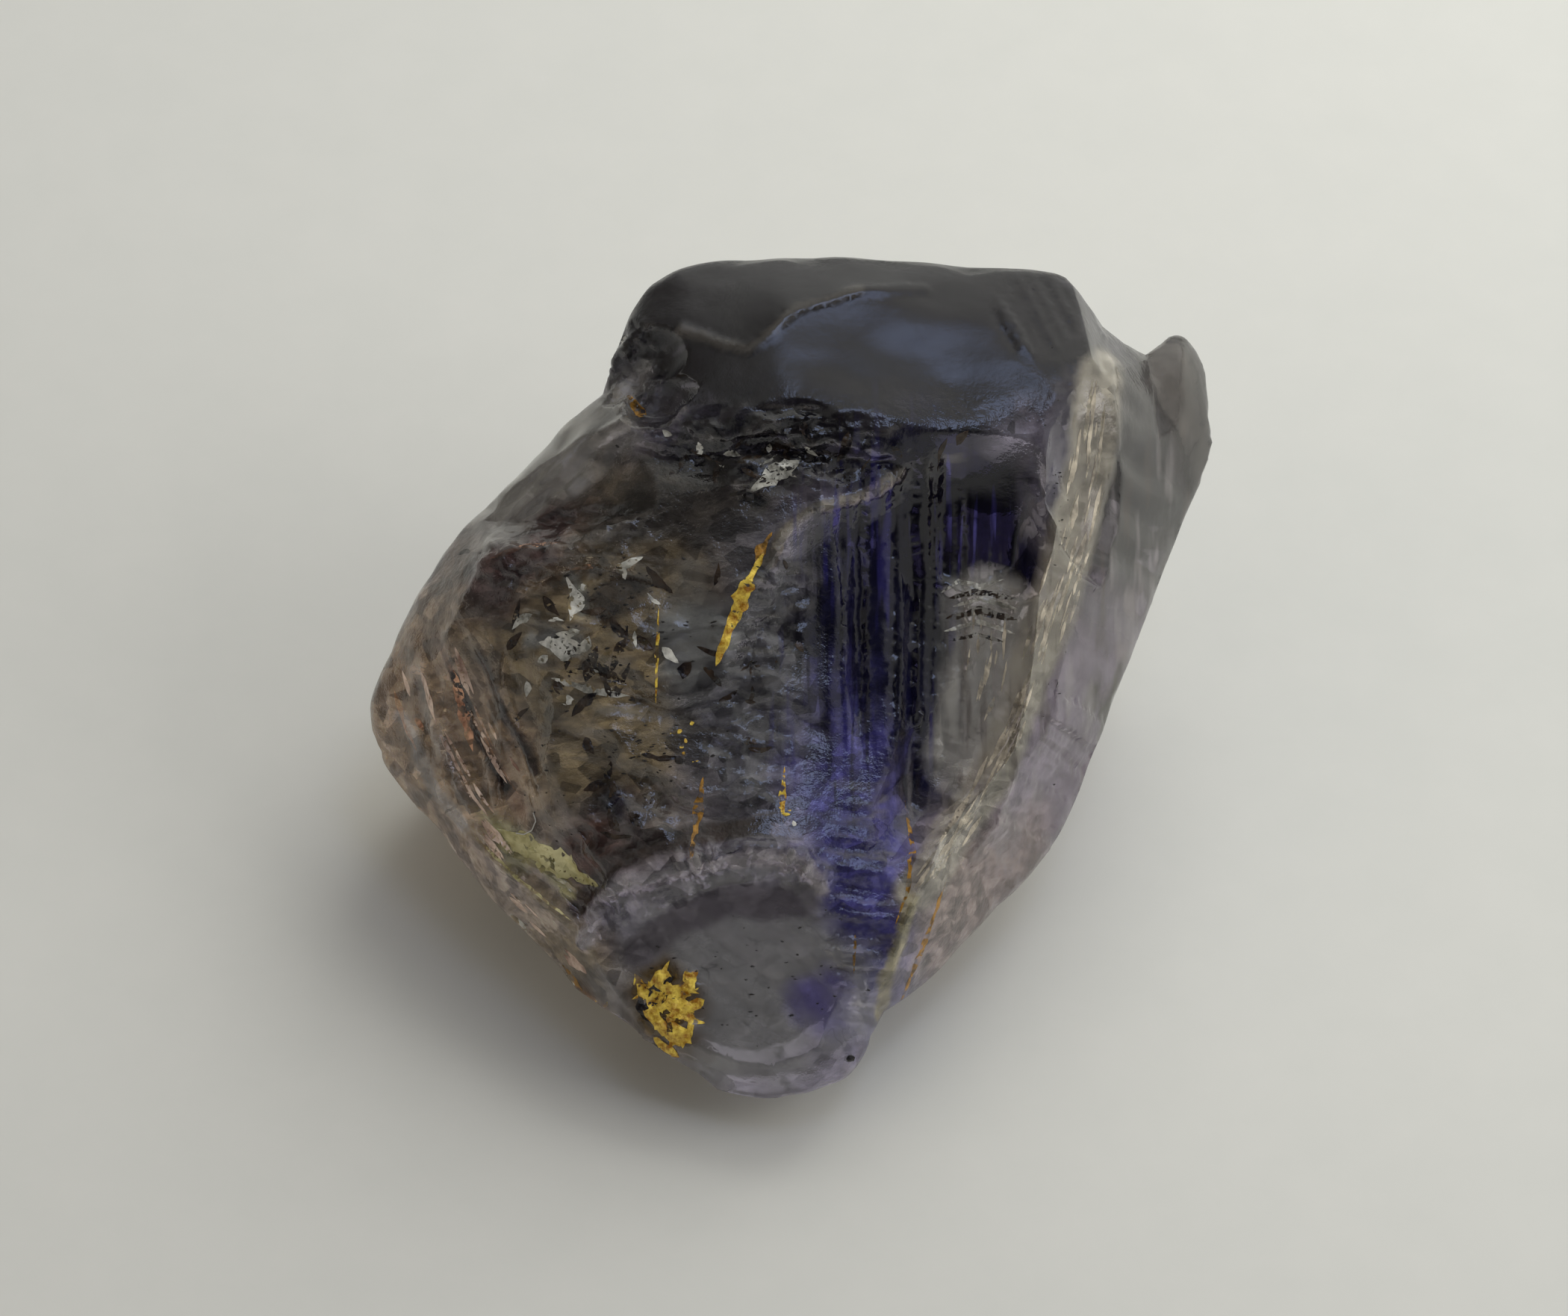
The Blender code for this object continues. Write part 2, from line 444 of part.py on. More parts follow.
def build_stone():
    """Shapes the one solid of the stone."""
    stone = bpy.data.objects.new("tanzanite_crystal", stone_cage())
    bpy.context.scene.collection.objects.link(stone)
    rounding = stone.modifiers.new("rounding", "SUBSURF")
    rounding.levels = rounding.render_levels = SMOOTHING_LEVELS
    thinning = stone.modifiers.new("thinning", "DECIMATE")
    thinning.ratio = TRIANGLE_SHARE
    bpy.context.view_layer.update()
    surface = BVHTree.FromObject(stone, bpy.context.evaluated_depsgraph_get())
    cutters = [chip_cutter(name, surface, *values) for name, values in CHIPS.items()]
    for cutter in cutters:
        chip = stone.modifiers.new(cutter.name, "BOOLEAN")
        chip.operation = "DIFFERENCE"
        chip.object = cutter
        chip.solver = "EXACT"
    mesh = finished_mesh(stone)
    stone.modifiers.clear()
    for cutter in cutters:
        bpy.data.objects.remove(cutter)
    stone.data = mesh
    mesh.materials.clear()
    mesh.materials.append(tanzanite_material())
    mesh.shade_smooth()
    mesh.set_sharp_from_angle(angle=SHARP_ANGLE)


for leftover in list(bpy.data.objects):
    bpy.data.objects.remove(leftover)
build_stone()
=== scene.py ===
from math import cos, pi, radians, sin
from random import Random

import bmesh
import bpy
from mathutils import Matrix, Vector, noise
from mathutils.bvhtree import BVHTree
import numpy as np


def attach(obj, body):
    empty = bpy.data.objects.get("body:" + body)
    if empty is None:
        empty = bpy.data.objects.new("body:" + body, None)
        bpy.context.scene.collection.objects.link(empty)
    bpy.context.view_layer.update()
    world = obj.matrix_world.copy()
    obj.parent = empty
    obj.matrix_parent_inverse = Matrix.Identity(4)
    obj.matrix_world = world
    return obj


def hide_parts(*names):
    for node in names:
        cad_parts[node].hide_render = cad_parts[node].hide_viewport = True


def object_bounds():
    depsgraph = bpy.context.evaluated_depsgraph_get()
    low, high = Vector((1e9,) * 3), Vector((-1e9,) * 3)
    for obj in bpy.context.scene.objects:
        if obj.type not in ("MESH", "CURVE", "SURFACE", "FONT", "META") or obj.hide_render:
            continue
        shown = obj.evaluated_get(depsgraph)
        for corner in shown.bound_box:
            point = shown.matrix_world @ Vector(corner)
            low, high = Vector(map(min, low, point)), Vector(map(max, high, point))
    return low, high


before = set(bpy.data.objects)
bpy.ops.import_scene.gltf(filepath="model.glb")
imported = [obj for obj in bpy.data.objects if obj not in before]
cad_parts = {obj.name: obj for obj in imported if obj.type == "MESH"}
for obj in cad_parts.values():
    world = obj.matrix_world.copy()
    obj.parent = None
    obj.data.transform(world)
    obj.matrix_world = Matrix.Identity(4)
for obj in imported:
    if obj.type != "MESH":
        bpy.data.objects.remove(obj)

cad_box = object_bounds()

# The view: a close-up from above the front, 50 degrees above the level, with a long lens. Places on the stone
# are given as they are seen there: millimetres across, up the view, and toward the eye.
MM = 0.001
LOOKING_DOWN = radians(50)
SEEN_ORIGIN = Vector((-0.0169, 2.8082, 0.0))
TOWARD_EYE = Vector((0, -cos(LOOKING_DOWN), sin(LOOKING_DOWN)))
UP_THE_VIEW = Vector((0, sin(LOOKING_DOWN), cos(LOOKING_DOWN)))
EYE_DISTANCE = 150.0
FRAME_WIDTH = 22.85
FRAME_MIDDLE = (-0.11, 0.27)
MAIN_FACE_TOWARD = 5.4


def seen(across, up, toward):
    """A point given as it is seen, in metres of the stone's own frame."""
    place = SEEN_ORIGIN + Vector((across, 0, 0)) + up * UP_THE_VIEW + toward * TOWARD_EYE
    return MM * place


def as_seen(point):
    """The across, up and toward numbers of a point of the stone, in millimetres."""
    place = Vector(point) / MM - SEEN_ORIGIN
    return Vector((place.x, place.dot(UP_THE_VIEW), place.dot(TOWARD_EYE)))


def aimed(item, place, target):
    """Puts a camera or a light at a place and turns it to a target."""
    item.location = place
    item.rotation_euler = (target - place).to_track_quat("-Z", "Y").to_euler()
    bpy.context.scene.collection.objects.link(item)


camera_lens = bpy.data.cameras.new("close_up")
camera_lens.lens = camera_lens.sensor_width * EYE_DISTANCE / FRAME_WIDTH
camera_lens.clip_start = 0.01
camera_lens.clip_end = 5
camera = bpy.data.objects.new("close_up", camera_lens)
look_at = seen(*FRAME_MIDDLE, MAIN_FACE_TOWARD)
aimed(camera, look_at + MM * EYE_DISTANCE * TOWARD_EYE, look_at)
bpy.context.scene.camera = camera
bpy.context.scene.view_settings.view_transform = "Standard"


# The floor: a sheet of matt off-white card, a little warm, larger than the view. Its faint cloudiness keeps it
# from looking like a flat fill.
def linear(hex_colour):
    """Turns an sRGB hex colour into linear red, green, blue and alpha."""
    parts = [int(hex_colour[place:place + 2], 16) / 255 for place in (1, 3, 5)]
    return [part / 12.92 if part <= 0.04045 else ((part + 0.055) / 1.055) ** 2.4 for part in parts] + [1.0]


def add(tree, kind, links=(), **settings):
    """Adds one node: settings are its properties, or its inputs where the name is an input's name."""
    node = tree.nodes.new(kind)
    for name, value in settings.items():
        label = name.replace("_", " ")
        if hasattr(node, name):
            setattr(node, name, value)
        elif label in node.inputs:
            node.inputs[label].default_value = value
        else:
            node.inputs[int(name.lstrip("in"))].default_value = value
    for source, target in links:
        tree.links.new(source, node.inputs[target])
    return node


def new_material(name):
    """A bare node material: its tree, its shader and itself."""
    material = bpy.data.materials.new(name)
    material.use_nodes = True
    return material, material.node_tree, material.node_tree.nodes["Principled BSDF"]


CARD_GRAIN = 1.2
card, tree, shader = new_material("matt_off_white_card")
place = add(tree, "ShaderNodeTexCoord")
clouds = add(tree, "ShaderNodeTexNoise", [(place.outputs["Object"], "Vector")],
             Scale=1 / (CARD_GRAIN * MM), Detail=3.0, Roughness=0.6)
tone = add(tree, "ShaderNodeMix", [(clouds.outputs["Fac"], "Factor")], data_type="RGBA")
tone.inputs["A"].default_value = linear("#dcdcd7")
tone.inputs["B"].default_value = linear("#e2e1dc")
tree.links.new(tone.outputs["Result"], shader.inputs["Base Color"])
shader.inputs["Roughness"].default_value = 0.75
shader.inputs["Specular IOR Level"].default_value = 0.25
bump = add(tree, "ShaderNodeBump", [(clouds.outputs["Fac"], "Height")], Strength=0.05, Distance=0.0001)
tree.links.new(bump.outputs["Normal"], shader.inputs["Normal"])

FLOOR_HALF = 0.6
FLOOR_GAP = 0.00002
bm = bmesh.new()
corners = [(-1, -1), (1, -1), (1, 1), (-1, 1)]
bm.faces.new([bm.verts.new((x * FLOOR_HALF, y * FLOOR_HALF, -FLOOR_GAP)) for x, y in corners])
floor_mesh = bpy.data.meshes.new("floor")
bm.to_mesh(floor_mesh)
bm.free()
floor_mesh.materials.append(card)
floor = bpy.data.objects.new("floor", floor_mesh)
bpy.context.scene.collection.objects.link(floor)


# The light: a pale room with a broad bright side behind the stone to the right, a bluish patch of sky above
# the viewer, and a soft lamp that gives the shadow toward the lower left. All edges of the light are soft.
ROOM_COLOUR = "#b6b6b2"
ROOM_STRENGTH = 0.72
SIDES = [
    # azimuth, elevation and half width in degrees, colour, strength
    (150, 24, 64, "#f1f1ec", 0.92),
    (-6, 50, 44, "#34343a", 0.60),
    (88, 77, 13, "#b0bee0", 3.00),
    (250, 30, 50, "#8f8a80", 0.40),
]


def way_to(azimuth, elevation):
    """The unit direction of an azimuth and an elevation, in degrees; azimuth 0 is the viewer's side."""
    round_stone, above = radians(azimuth), radians(elevation)
    return Vector((sin(round_stone) * cos(above), -cos(round_stone) * cos(above), sin(above)))


def soft_lamp(name, azimuth, elevation, distance, size, watts, colour):
    """A wide lamp that faces the stone. It lights matt surfaces; the glass mirrors only the room."""
    panel = bpy.data.lights.new(name, "AREA")
    panel.shape = "RECTANGLE"
    panel.size, panel.size_y = size
    panel.energy = watts
    panel.color = linear(colour)[:3]
    lamp = bpy.data.objects.new(name, panel)
    lamp.visible_glossy = False
    lamp.visible_transmission = False
    lamp.visible_camera = False
    aimed(lamp, way_to(azimuth, elevation) * distance, Vector((0, 0, 0.004)))


soft_lamp("window_side", 152, 42, 0.062, (0.048, 0.042), 0.0195, "#fafbf6")
soft_lamp("right_side", 82, 36, 0.075, (0.045, 0.040), 0.0145, "#fbfaf6")
soft_lamp("left_side", 288, 28, 0.080, (0.050, 0.040), 0.0064, "#fff0de")
room = bpy.data.worlds.new("pale_room")
bpy.context.scene.world = room
room.use_nodes = True
tree = room.node_tree
outward = add(tree, "ShaderNodeTexCoord")
shade = add(tree, "ShaderNodeRGB")
shade.outputs["Color"].default_value = [part * ROOM_STRENGTH for part in linear(ROOM_COLOUR)]
colour = shade.outputs["Color"]
for azimuth, elevation, half_width, side_colour, strength in SIDES:
    near = add(tree, "ShaderNodeVectorMath", [(outward.outputs["Generated"], 0)], operation="DOT_PRODUCT",
               in1=way_to(azimuth, elevation))
    share = add(tree, "ShaderNodeMapRange", [(near.outputs["Value"], "Value")],
                interpolation_type="SMOOTHSTEP", in1=cos(radians(half_width)), in2=1.0, in3=0.0, in4=1.0)
    mixed = add(tree, "ShaderNodeMix", [(share.outputs["Result"], "Factor"), (colour, "A")],
                data_type="RGBA")
    mixed.inputs["B"].default_value = [part * strength for part in linear(side_colour)]
    colour = mixed.outputs["Result"]
tree.links.new(colour, tree.nodes["Background"].inputs["Color"])


# The stone: one broken piece of clear zoisite. Its outside is taken from the frame's solid and made finer, so
# that fracture ripples, growth lines and hackly patches can be raised on it in real relief.
SHARP_FOLD = radians(22)
FINEST_FRONT = 0.105
FINEST_BACK = 0.17

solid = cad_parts["tanzanite_crystal"]
bm = bmesh.new()
bm.from_mesh(solid.data)
bmesh.ops.remove_doubles(bm, verts=bm.verts[:], dist=1e-7)
crease = bm.edges.layers.float.new("crease_edge")
for edge in bm.edges:
    fold = edge.calc_face_angle(0)
    edge[crease] = min(1.0, max(0.0, (fold - SHARP_FOLD / 2) / (SHARP_FOLD / 2)))
stone_mesh = bpy.data.meshes.new("tanzanite")
bm.to_mesh(stone_mesh)
bm.free()
stone = bpy.data.objects.new("tanzanite", stone_mesh)
bpy.context.scene.collection.objects.link(stone)
rounding = stone.modifiers.new("rounding", "SUBSURF")
rounding.levels = rounding.render_levels = 1
finer = bpy.data.meshes.new_from_object(stone.evaluated_get(bpy.context.evaluated_depsgraph_get()))
stone.modifiers.clear()
bm = bmesh.new()
bm.from_mesh(finer)
bmesh.ops.triangulate(bm, faces=bm.faces[:])
for halving in range(2):
    bm.normal_update()
    long_edges = [
        edge for edge in bm.edges
        if edge.calc_length() > MM * (FINEST_FRONT if edge.verts[0].normal.dot(TOWARD_EYE) > 0 else FINEST_BACK)
    ]
    bmesh.ops.subdivide_edges(bm, edges=long_edges, cuts=1)
    bmesh.ops.triangulate(bm, faces=bm.faces[:])
bm.to_mesh(finer)
bm.free()


def patch(place, centre, half, turn=0.0):
    """1 in the middle of an oval patch of the visible side, falling smoothly to 0 at its rim."""
    across, up = place.x - centre[0], place.y - centre[1]
    turned = radians(turn)
    along = across * cos(turned) + up * sin(turned)
    beside = up * cos(turned) - across * sin(turned)
    reach = 1 - (along / half[0]) ** 2 - (beside / half[1]) ** 2
    return max(0.0, min(1.0, 2 * reach))


def terraces(value, steps):
    """Turns a smooth value into flat treads with steep risers between them."""
    scaled = value * steps
    tread = scaled - scaled % 1.0
    rise = min(1.0, (scaled % 1.0) * 4)
    return (tread + rise) / steps


# Hackly patches: small flakes broken off in steps. Each is its middle, its half sizes and its turn, the size
# of a flake across and up, and how high the steps stand, all in millimetres.
HACKLY = [
    ((-0.20, 3.35), (2.1, 0.70), -4, (0.60, 0.26), 0.14),
    ((-3.30, 1.85), (1.5, 0.65), 14, (0.45, 0.22), 0.12),
    ((-0.45, 0.75), (0.7, 1.20), -20, (0.65, 0.22), 0.12),
    ((-2.60, 0.20), (1.3, 1.20), 8, (0.80, 0.42), 0.08),
    ((-0.60, -1.10), (0.8, 1.00), 0, (0.45, 0.24), 0.10),
    ((-2.40, -2.10), (0.9, 0.70), 30, (0.40, 0.30), 0.09),
    ((-2.30, 4.50), (0.5, 0.80), 0, (0.30, 0.26), 0.10),
    ((2.95, 0.95), (0.6, 0.38), 15, (0.70, 0.17), 0.12),
    ((-5.20, -0.60), (0.9, 1.40), 25, (0.40, 1.20), 0.03),
    ((-4.30, 1.30), (0.7, 0.60), 30, (0.50, 0.36), 0.07),
    ((-1.80, -4.75), (0.6, 0.80), 0, (0.24, 0.24), 0.09),
    ((3.90, 3.20), (0.4, 1.40), -8, (0.30, 0.60), 0.04),
]
# Growth lines: straight fine ridges left as the crystal grew. Each is its patch, then the way across the
# lines in degrees, the spacing of the lines, and their height, in millimetres.
GROWTH_LINES = [
    ((1.60, 0.90), (1.7, 2.60), 0, 0, 0.36, 0.06),
    ((0.95, -3.20), (0.6, 1.70), 0, 84, 0.24, 0.07),
    ((3.60, 5.30), (0.7, 0.70), 0, 28, 0.14, 0.03),
    ((-4.50, -0.80), (0.9, 2.00), 12, 26, 0.30, 0.04),
    ((3.60, -1.60), (1.6, 1.80), -40, 62, 0.40, 0.04),
    ((-3.70, -2.80), (1.3, 0.40), -32, 58, 0.12, 0.04),
    ((-1.90, -3.00), (1.3, 0.40), 26, 20, 0.12, 0.05),
    ((-0.20, -2.72), (0.8, 0.30), 0, -10, 0.12, 0.05),
]
# Ripples round the point where a blow fell, as in broken glass: that point, the middle and half sizes of the
# rippled patch, the spacing of the ripples and their height, in millimetres.
RIPPLES = [
    ((5.10, 3.60), (3.90, 2.60), (0.5, 1.9), 0.42, 0.018),
    ((-3.10, -6.90), (-0.60, -4.20), (1.4, 1.2), 0.55, 0.016),
    ((2.00, 8.90), (1.60, 4.90), (2.6, 0.9), 0.70, 0.004),
    ((-5.90, 5.20), (-3.60, 3.00), (1.4, 0.8), 0.40, 0.022),
    ((7.20, 6.60), (5.00, 1.80), (1.0, 3.0), 0.70, 0.022),
]
# Shallow rounded hollows in smooth faces, which gather the light in a soft patch: the middle, the half sizes
# and the depth, in millimetres.
HOLLOWS = [
    ((2.15, 4.42), (1.50, 0.90), 0.085),
]
# Raised lips of single cracks and flake scars: a line, its half width and its height, in millimetres.
LIPS = [
    ([(-3.00, -3.80), (-2.78, -3.25), (-2.40, -2.95), (-1.45, -2.66), (-0.60, -2.52), (0.10, -2.62),
      (0.42, -2.95)], 0.18, 0.11),
    ([(1.60, 2.98), (0.92, 2.60), (0.36, 2.40), (-0.10, 2.06), (-0.38, 1.62)], 0.09, 0.08),
    ([(-1.60, 5.10), (-1.05, 4.85), (-0.62, 4.75), (-0.30, 5.05), (0.05, 5.36), (1.00, 5.62), (2.00, 5.70)],
     0.11, 0.028),
    ([(-2.45, 3.70), (-3.30, 3.02), (-4.40, 1.95)], 0.11, 0.04),
    ([(-5.00, 0.60), (-4.52, -0.90), (-4.30, -1.90)], 0.11, 0.04),
    ([(-4.60, 0.70), (-4.00, -0.80), (-3.50, -2.00), (-2.85, -2.95)], 0.11, 0.05),
    ([(-5.42, 0.25), (-5.10, -1.20), (-4.62, -2.20)], 0.11, 0.04),
    ([(-3.90, 0.95), (-3.30, 0.72), (-2.85, 0.78)], 0.10, 0.06),
    ([(-3.55, -0.12), (-2.95, -0.02), (-2.25, -0.16)], 0.10, 0.06),
    ([(2.25, 1.35), (2.62, 1.12), (2.95, 1.28), (3.35, 1.00)], 0.10, 0.07),
    ([(4.66, 4.60), (4.72, 3.40), (4.40, 2.10), (3.90, 1.10)], 0.11, 0.04),
]
WAVES_LONG = (1.7, 0.030)
WAVES_SHORT = (0.45, 0.012)
BACK_FLAKES = (1.3, 0.05)
CALM_FACES = [((1.0, 5.0), (3.6, 1.2)), ((-0.3, -4.4), (1.4, 1.3)), ((5.0, 1.5), (1.2, 3.4))]
# Where the surface turns away from the eye the relief fades, so that the outline stays as clean as it is.
RIM_FACING = (0.08, 0.45)
RESTING = 0.25


def relief(place, facing):
    """How far the surface stands out at a place of the stone, in millimetres."""
    height = WAVES_LONG[1] * noise.noise(place / WAVES_LONG[0] + Vector((3, 7, 1)))
    height += WAVES_SHORT[1] * noise.noise(place / WAVES_SHORT[0] + Vector((9, 2, 5)))
    near_rim = min(1.0, max(0.0, (abs(facing) - RIM_FACING[0]) / (RIM_FACING[1] - RIM_FACING[0])))
    if facing < 0:
        flakes = noise.fractal(place / BACK_FLAKES[0], 0.8, 2.1, 2)
        return height + near_rim * BACK_FLAKES[1] * terraces(flakes, 5)
    height *= 1 - 0.65 * max(patch(place, *face) for face in CALM_FACES)
    raised = 0.0
    for centre, half, turn, (across, up), rise in HACKLY:
        share = patch(place, centre, half, turn)
        if share > 0:
            flakes = noise.fractal(Vector((place.x / across, place.y / up, place.z / across)), 0.7, 2.2, 2)
            raised += share * rise * terraces(flakes, 4)
    for centre, half, turn, way, spacing, rise in GROWTH_LINES:
        share = patch(place, centre, half, turn)
        if share > 0:
            line = place.x * cos(radians(way)) + place.y * sin(radians(way))
            line += 0.05 * noise.noise(place / 0.8)
            raised += share * rise * noise.cell(Vector((line / spacing, 0.5, 0.5)))
            raised += 0.5 * share * rise * noise.cell(Vector((2.7 * line / spacing, 3.5, 0.5)))
    for blow, centre, half, spacing, rise in RIPPLES:
        share = patch(place, centre, half)
        if share > 0:
            out = (Vector((place.x, place.y)) - Vector(blow)).length + 0.2 * noise.noise(place / 1.1)
            raised += share * rise * sin(2 * pi * out / spacing)
    for centre, half, depth in HOLLOWS:
        reach = 1 - ((place.x - centre[0]) / half[0]) ** 2 - ((place.y - centre[1]) / half[1]) ** 2
        raised -= depth * max(0.0, reach) ** 2
    return height + near_rim * raised


def from_line(places, line):
    """How far each place lies from a line of across and up points, in millimetres."""
    nearest = np.full(len(places), 99.0)
    for start, end in zip(np.array(line), np.array(line)[1:]):
        span = end - start
        share = np.clip((places[:, :2] - start) @ span / (span @ span), 0, 1)
        foot = start + share[:, None] * span
        nearest = np.minimum(nearest, np.linalg.norm(places[:, :2] - foot, axis=1))
    return nearest


places = [as_seen(vertex.co) for vertex in finer.vertices]
outward_ways = [vertex.normal.copy() for vertex in finer.vertices]
facing = np.array([way.dot(TOWARD_EYE) for way in outward_ways])
heights = np.array([relief(place, face) for place, face in zip(places, facing)])
wandering = np.array([noise.noise_vector(place * 1.3) for place in places])
quivering = np.array([noise.noise_vector(place * 5.0) for place in places])
placed = np.array(places)
shaken = placed + 0.10 * wandering + 0.02 * quivering
for line, half_width, rise in LIPS:
    lip = np.clip(1 - (from_line(shaken, line) / half_width) ** 2, 0, 1)
    heights += rise * lip * np.clip(4 * facing, 0, 1)
ground = np.array([vertex.co.z for vertex in finer.vertices]) / MM
heights *= np.where(ground > 0.001, np.clip(ground / RESTING, 0, 1), 0)
for vertex, way_out, height in zip(finer.vertices, outward_ways, heights):
    raised = vertex.co + way_out * float(MM * height)
    vertex.co = [min(max(value, low), high) for value, low, high in zip(raised, *cad_box)]

# Ridges are scuffed: how far each point stands out from its neighbours, worked into the colour and frost on the
# mesh.
SCUFF_FROM, SCUFF_TO = 0.08, 0.26
outward_ways = np.array([vertex.normal.copy() for vertex in finer.vertices])
spots = np.array([vertex.co.copy() for vertex in finer.vertices])
firsts, seconds = np.array([edge.vertices[:] for edge in finer.edges]).T
spans = spots[seconds] - spots[firsts]
spans /= np.maximum(np.linalg.norm(spans, axis=1), 1e-9)[:, None]
neighbours = np.bincount(firsts, minlength=len(spots)) + np.bincount(seconds, minlength=len(spots))
leans = -np.bincount(firsts, (spans * outward_ways[firsts]).sum(1), len(spots))
leans += np.bincount(seconds, (spans * outward_ways[seconds]).sum(1), len(spots))
worn = leans / neighbours
for smoothing in range(2):
    totals = worn + np.bincount(firsts, worn[seconds], len(spots)) + np.bincount(seconds, worn[firsts], len(spots))
    worn = totals / (neighbours + 1)
worn = np.clip((worn - SCUFF_FROM) / (SCUFF_TO - SCUFF_FROM), 0, 1)

# Colour zones: middle and half sizes across, up and toward the eye, turn in degrees, softness, colour and
# how frosted the surface is there.
BODY_COLOUR, BODY_FROST = "#b9b2c8", 0.05
COLOUR_ZONES = [
    ((1.0, 5.2, 4.6), (4.2, 1.9, 3.0), 0, 0.20, "#2a272c", 0.24),
    ((5.2, 2.2, 3.0), (1.6, 4.0, 4.0), -14, 0.30, "#716d6b", 0.13),
    ((3.9, -0.9, 3.5), (1.4, 2.2, 4.0), -28, 0.30, "#c9b8cc", 0.10),
    ((2.6, -3.3, 3.5), (1.2, 1.5, 4.0), -35, 0.30, "#e6cec4", 0.13),
    ((-3.0, 0.4, 5.0), (2.6, 3.2, 3.4), 10, 0.25, "#c4ae84", 0.10),
    ((-1.4, 2.5, 5.0), (1.8, 0.9, 2.4), 6, 0.30, "#5a544c", 0.10),
    # Partly painted light: the left tip's pale orange is raised toward white to stand for light shining through
    # it.
    ((-5.2, -1.0, 4.0), (1.4, 2.4, 4.0), 25, 0.25, "#ffdcb4", 0.08),
    ((-4.0, 1.9, 4.0), (1.3, 0.8, 3.0), 42, 0.30, "#775c56", 0.11),
    ((-3.5, 3.2, 4.0), (1.8, 0.6, 3.0), 42, 0.25, "#ece8dc", 0.09),
    ((-3.4, -3.9, 4.0), (2.2, 0.7, 3.0), -38, 0.30, "#cdb894", 0.10),
    ((-3.6, -2.70, 4.0), (1.2, 0.32, 3.0), -36, 0.20, "#eee4a4", 0.08),
    ((0.0, 3.4, 5.5), (2.6, 0.6, 2.0), -4, 0.30, "#222129", 0.08),
    ((-0.6, -0.2, 5.5), (1.1, 2.2, 3.0), -8, 0.30, "#85848a", 0.09),
    ((-1.5, 0.5, 5.5), (0.5, 0.9, 2.0), 0, 0.25, "#b9bab6", 0.08),
    ((-2.5, -1.9, 5.0), (0.7, 0.5, 2.0), 20, 0.35, "#2a2336", 0.09),
    ((-2.8, -2.6, 5.0), (0.45, 0.5, 2.0), 0, 0.30, "#6c4434", 0.10),
    ((1.9, 0.9, 5.0), (1.75, 2.9, 3.2), -4, 0.12, "#1d1d46", 0.07),
    ((2.6, 1.9, 5.0), (1.0, 2.0, 3.0), 0, 0.25, "#08061e", 0.06),
    ((0.9, -2.6, 5.0), (0.9, 2.7, 3.0), 4, 0.22, "#6a67c2", 0.08),
    ((-0.7, -4.4, 5.4), (1.9, 1.6, 2.4), 0, 0.20, "#dcdbdc", 0.09),
    ((0.4, -4.8, 5.4), (0.4, 0.5, 2.0), 0, 0.40, "#a79ee6", 0.09),
    # Partly painted glow: the ochre and orange round the gold cluster stand partly for the glow of its internal
    # reflection.
    ((-1.8, -4.85, 5.4), (0.55, 0.70, 2.0), 10, 0.30, "#8a6a2c", 0.09),
    ((-2.9, -4.90, 5.0), (0.35, 0.30, 2.0), 0, 0.40, "#b87c34", 0.09),
    ((5.85, 4.3, 2.6), (0.6, 0.9, 2.0), 0, 0.30, "#6d6763", 0.12),
    ((4.7, -0.4, 3.0), (0.3, 0.5, 2.0), -20, 0.30, "#6a604e", 0.10),
    ((-3.35, 0.45, 5.0), (0.42, 0.26, 2.0), 8, 0.15, "#e0e0d2", 0.07),
    ((-3.2, 1.25, 5.0), (0.18, 0.34, 2.0), 14, 0.15, "#b4b4a6", 0.07),
    ((-2.6, 1.15, 5.0), (0.5, 0.30, 2.0), 0, 0.25, "#52432f", 0.10),
    ((-0.6, 2.65, 5.4), (0.34, 0.10, 1.5), 10, 0.20, "#0c0b10", 0.06),
]
